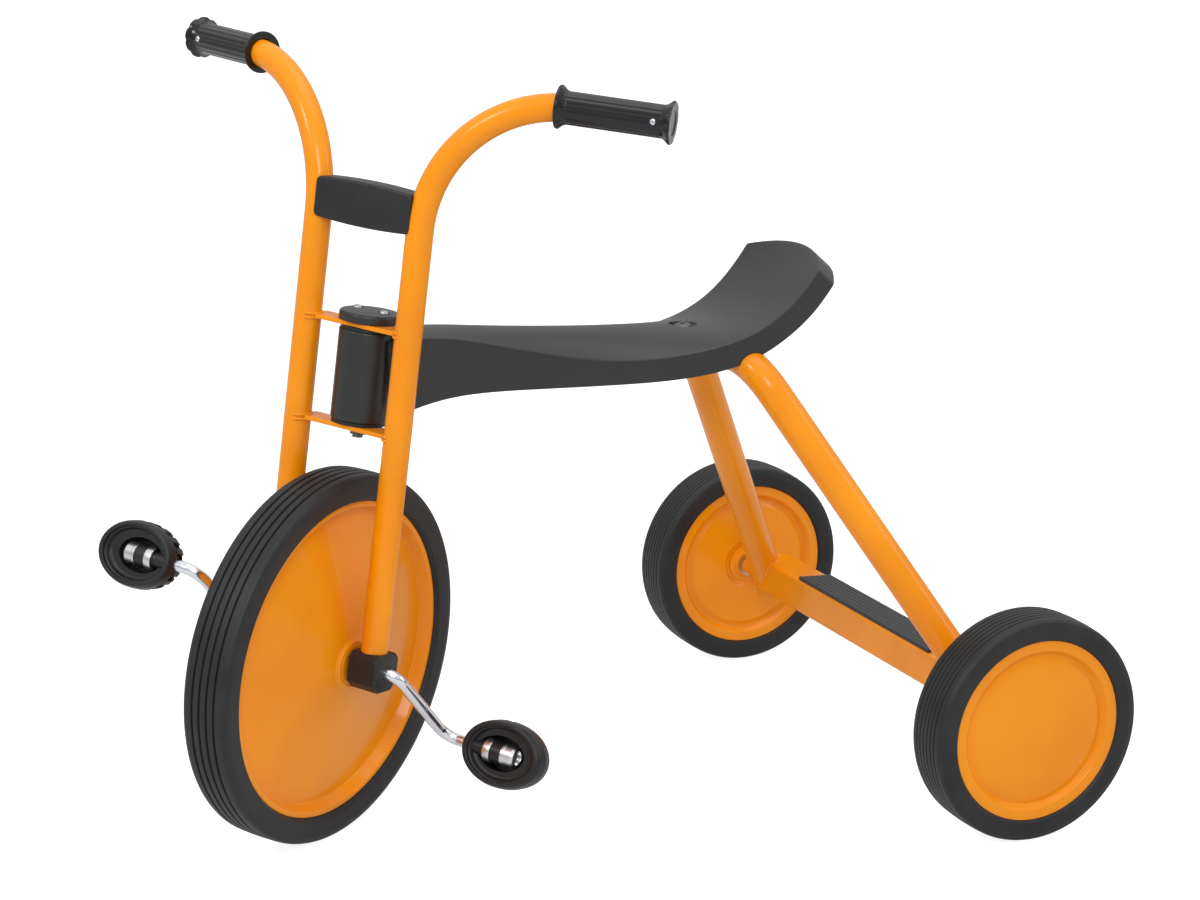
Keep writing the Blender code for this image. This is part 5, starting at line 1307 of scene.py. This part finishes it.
def seat():
    """Saddle and beam in one moulding, cut for the head, the frame tubes and the bolt's recess."""
    bolt = seat_crown_at_bolt()
    floor = bolt.z - SEAT_RECESS_DEPTH
    tools = [(cylinder_tool(HEAD_RADIUS + SEAT_GAP, 0.4, 96), HEAD @ moved(z=head_lower_face())),
             (sweep(main_tube_line(), MAIN_TUBE_RADIUS + SEAT_GAP, end_ease=0), WORLD),
             (sweep(hoop_path(), LEG_RADIUS + SEAT_GAP, end_ease=0), WORLD),
             (recess_tool(), moved(bolt.x, 0, floor))]
    mesh = cut(seat_shell(), WORLD, tools, sharp_deg=SEAT_SHARP_DEG)
    piece("saddle_seat", mesh, "frame", "seat_plastic", ["seat"])
    piece("saddle_bolt", seat_bolt_mesh(), "frame", "steel", ["seat_bolt"],
          moved(bolt.x, 0, floor + SEAT_GAP), "dark_zinc")


# Stage, light and camera

def stage():
    """A wide floor: near white to the camera, dimmer in the light that it throws up."""
    form = bmesh.new()
    bmesh.ops.create_circle(form, cap_ends=True, segments=96, radius=40)
    floor = linked("studio_floor", to_mesh(form))
    material, tree, shader = new_material("studio_floor")
    set_inputs(shader, {"Base Color": (0.40, 0.40, 0.40, 1), "Roughness": 0.9, "Specular IOR Level": 0.1,
                        "Emission Color": (1, 1, 1, 1)})
    rays = tree.nodes.new("ShaderNodeLightPath")
    tree.links.new(remap(tree, rays.outputs["Is Camera Ray"], 0.34, 0.88), shader.inputs["Emission Strength"])
    floor.data.materials.append(material)


def area_light(name, place, size, power):
    """A white soft box that faces the middle of the tricycle."""
    light = bpy.data.lights.new(name, "AREA")
    light.shape = "RECTANGLE"
    light.size, light.size_y = size
    light.energy = power
    item = linked(name, light)
    item.location = place
    item.rotation_euler = (LIGHT_AIM - Vector(place)).to_track_quat("-Z", "Y").to_euler()


def lights():
    """A white studio: surroundings brighter overhead than round the sides, and four soft boxes."""
    world = bpy.data.worlds.new("studio")
    bpy.context.scene.world = world
    world.use_nodes = True
    tree = world.node_tree
    background = tree.nodes["Background"]
    background.inputs["Color"].default_value = (1, 1, 1, 1)
    place = tree.nodes.new("ShaderNodeTexCoord")
    parts = tree.nodes.new("ShaderNodeSeparateXYZ")
    tree.links.new(place.outputs["Generated"], parts.inputs["Vector"])
    tree.links.new(remap(tree, parts.outputs["Z"], 0.38, 0.95, 0.0, 0.7), background.inputs["Strength"])
    area_light("key", (1.5, 3.1, 2.4), (1.1, 1.3), 44)
    area_light("top", (-0.3, 0.2, 3.0), (2.0, 2.0), 15)
    area_light("rim", (3.0, 0.5, 2.6), (0.7, 0.7), 24)
    area_light("side", (-2.8, 1.6, 1.5), (0.8, 1.6), 9)


def camera():
    data = bpy.data.cameras.new("camera")
    data.sensor_width = SENSOR_WIDTH
    data.lens = FOCAL_PX * SENSOR_WIDTH / IMAGE_WIDTH
    data.clip_start = 0.05
    item = linked("camera", data)
    item.location = CAMERA_PLACE
    roll = Quaternion((0, 0, 1), math.radians(CAMERA_ROLL_DEG))
    item.rotation_euler = (CAMERA_DIRECTION.to_track_quat("-Z", "Y") @ roll).to_euler()
    bpy.context.scene.camera = item


def dress_cad_nodes():
    """The CAD nodes that stay take the detailed materials too; the steering bolt is blackened."""
    for row in frame["record"]["subparts"]:
        look = "dark_zinc" if row["node"] in ("steering_bolt", "steering_nut") else row["material_slot"]
        node = frame["nodes"][row["node"]]
        for index in range(len(node.data.materials)):
            node.data.materials[index] = MATERIALS[look]
        if not node.data.materials:
            node.data.materials.append(MATERIALS[look])


camera()
lights()
stage()
dress_cad_nodes()
front_wheel()
for side, label in SIDES:
    rear_wheel(side, label)
    pedal(side, label)
crank()
fork()
rear_frame()
seat()
bpy.context.scene.view_settings.view_transform = "Standard"

bpy.context.view_layer.update()
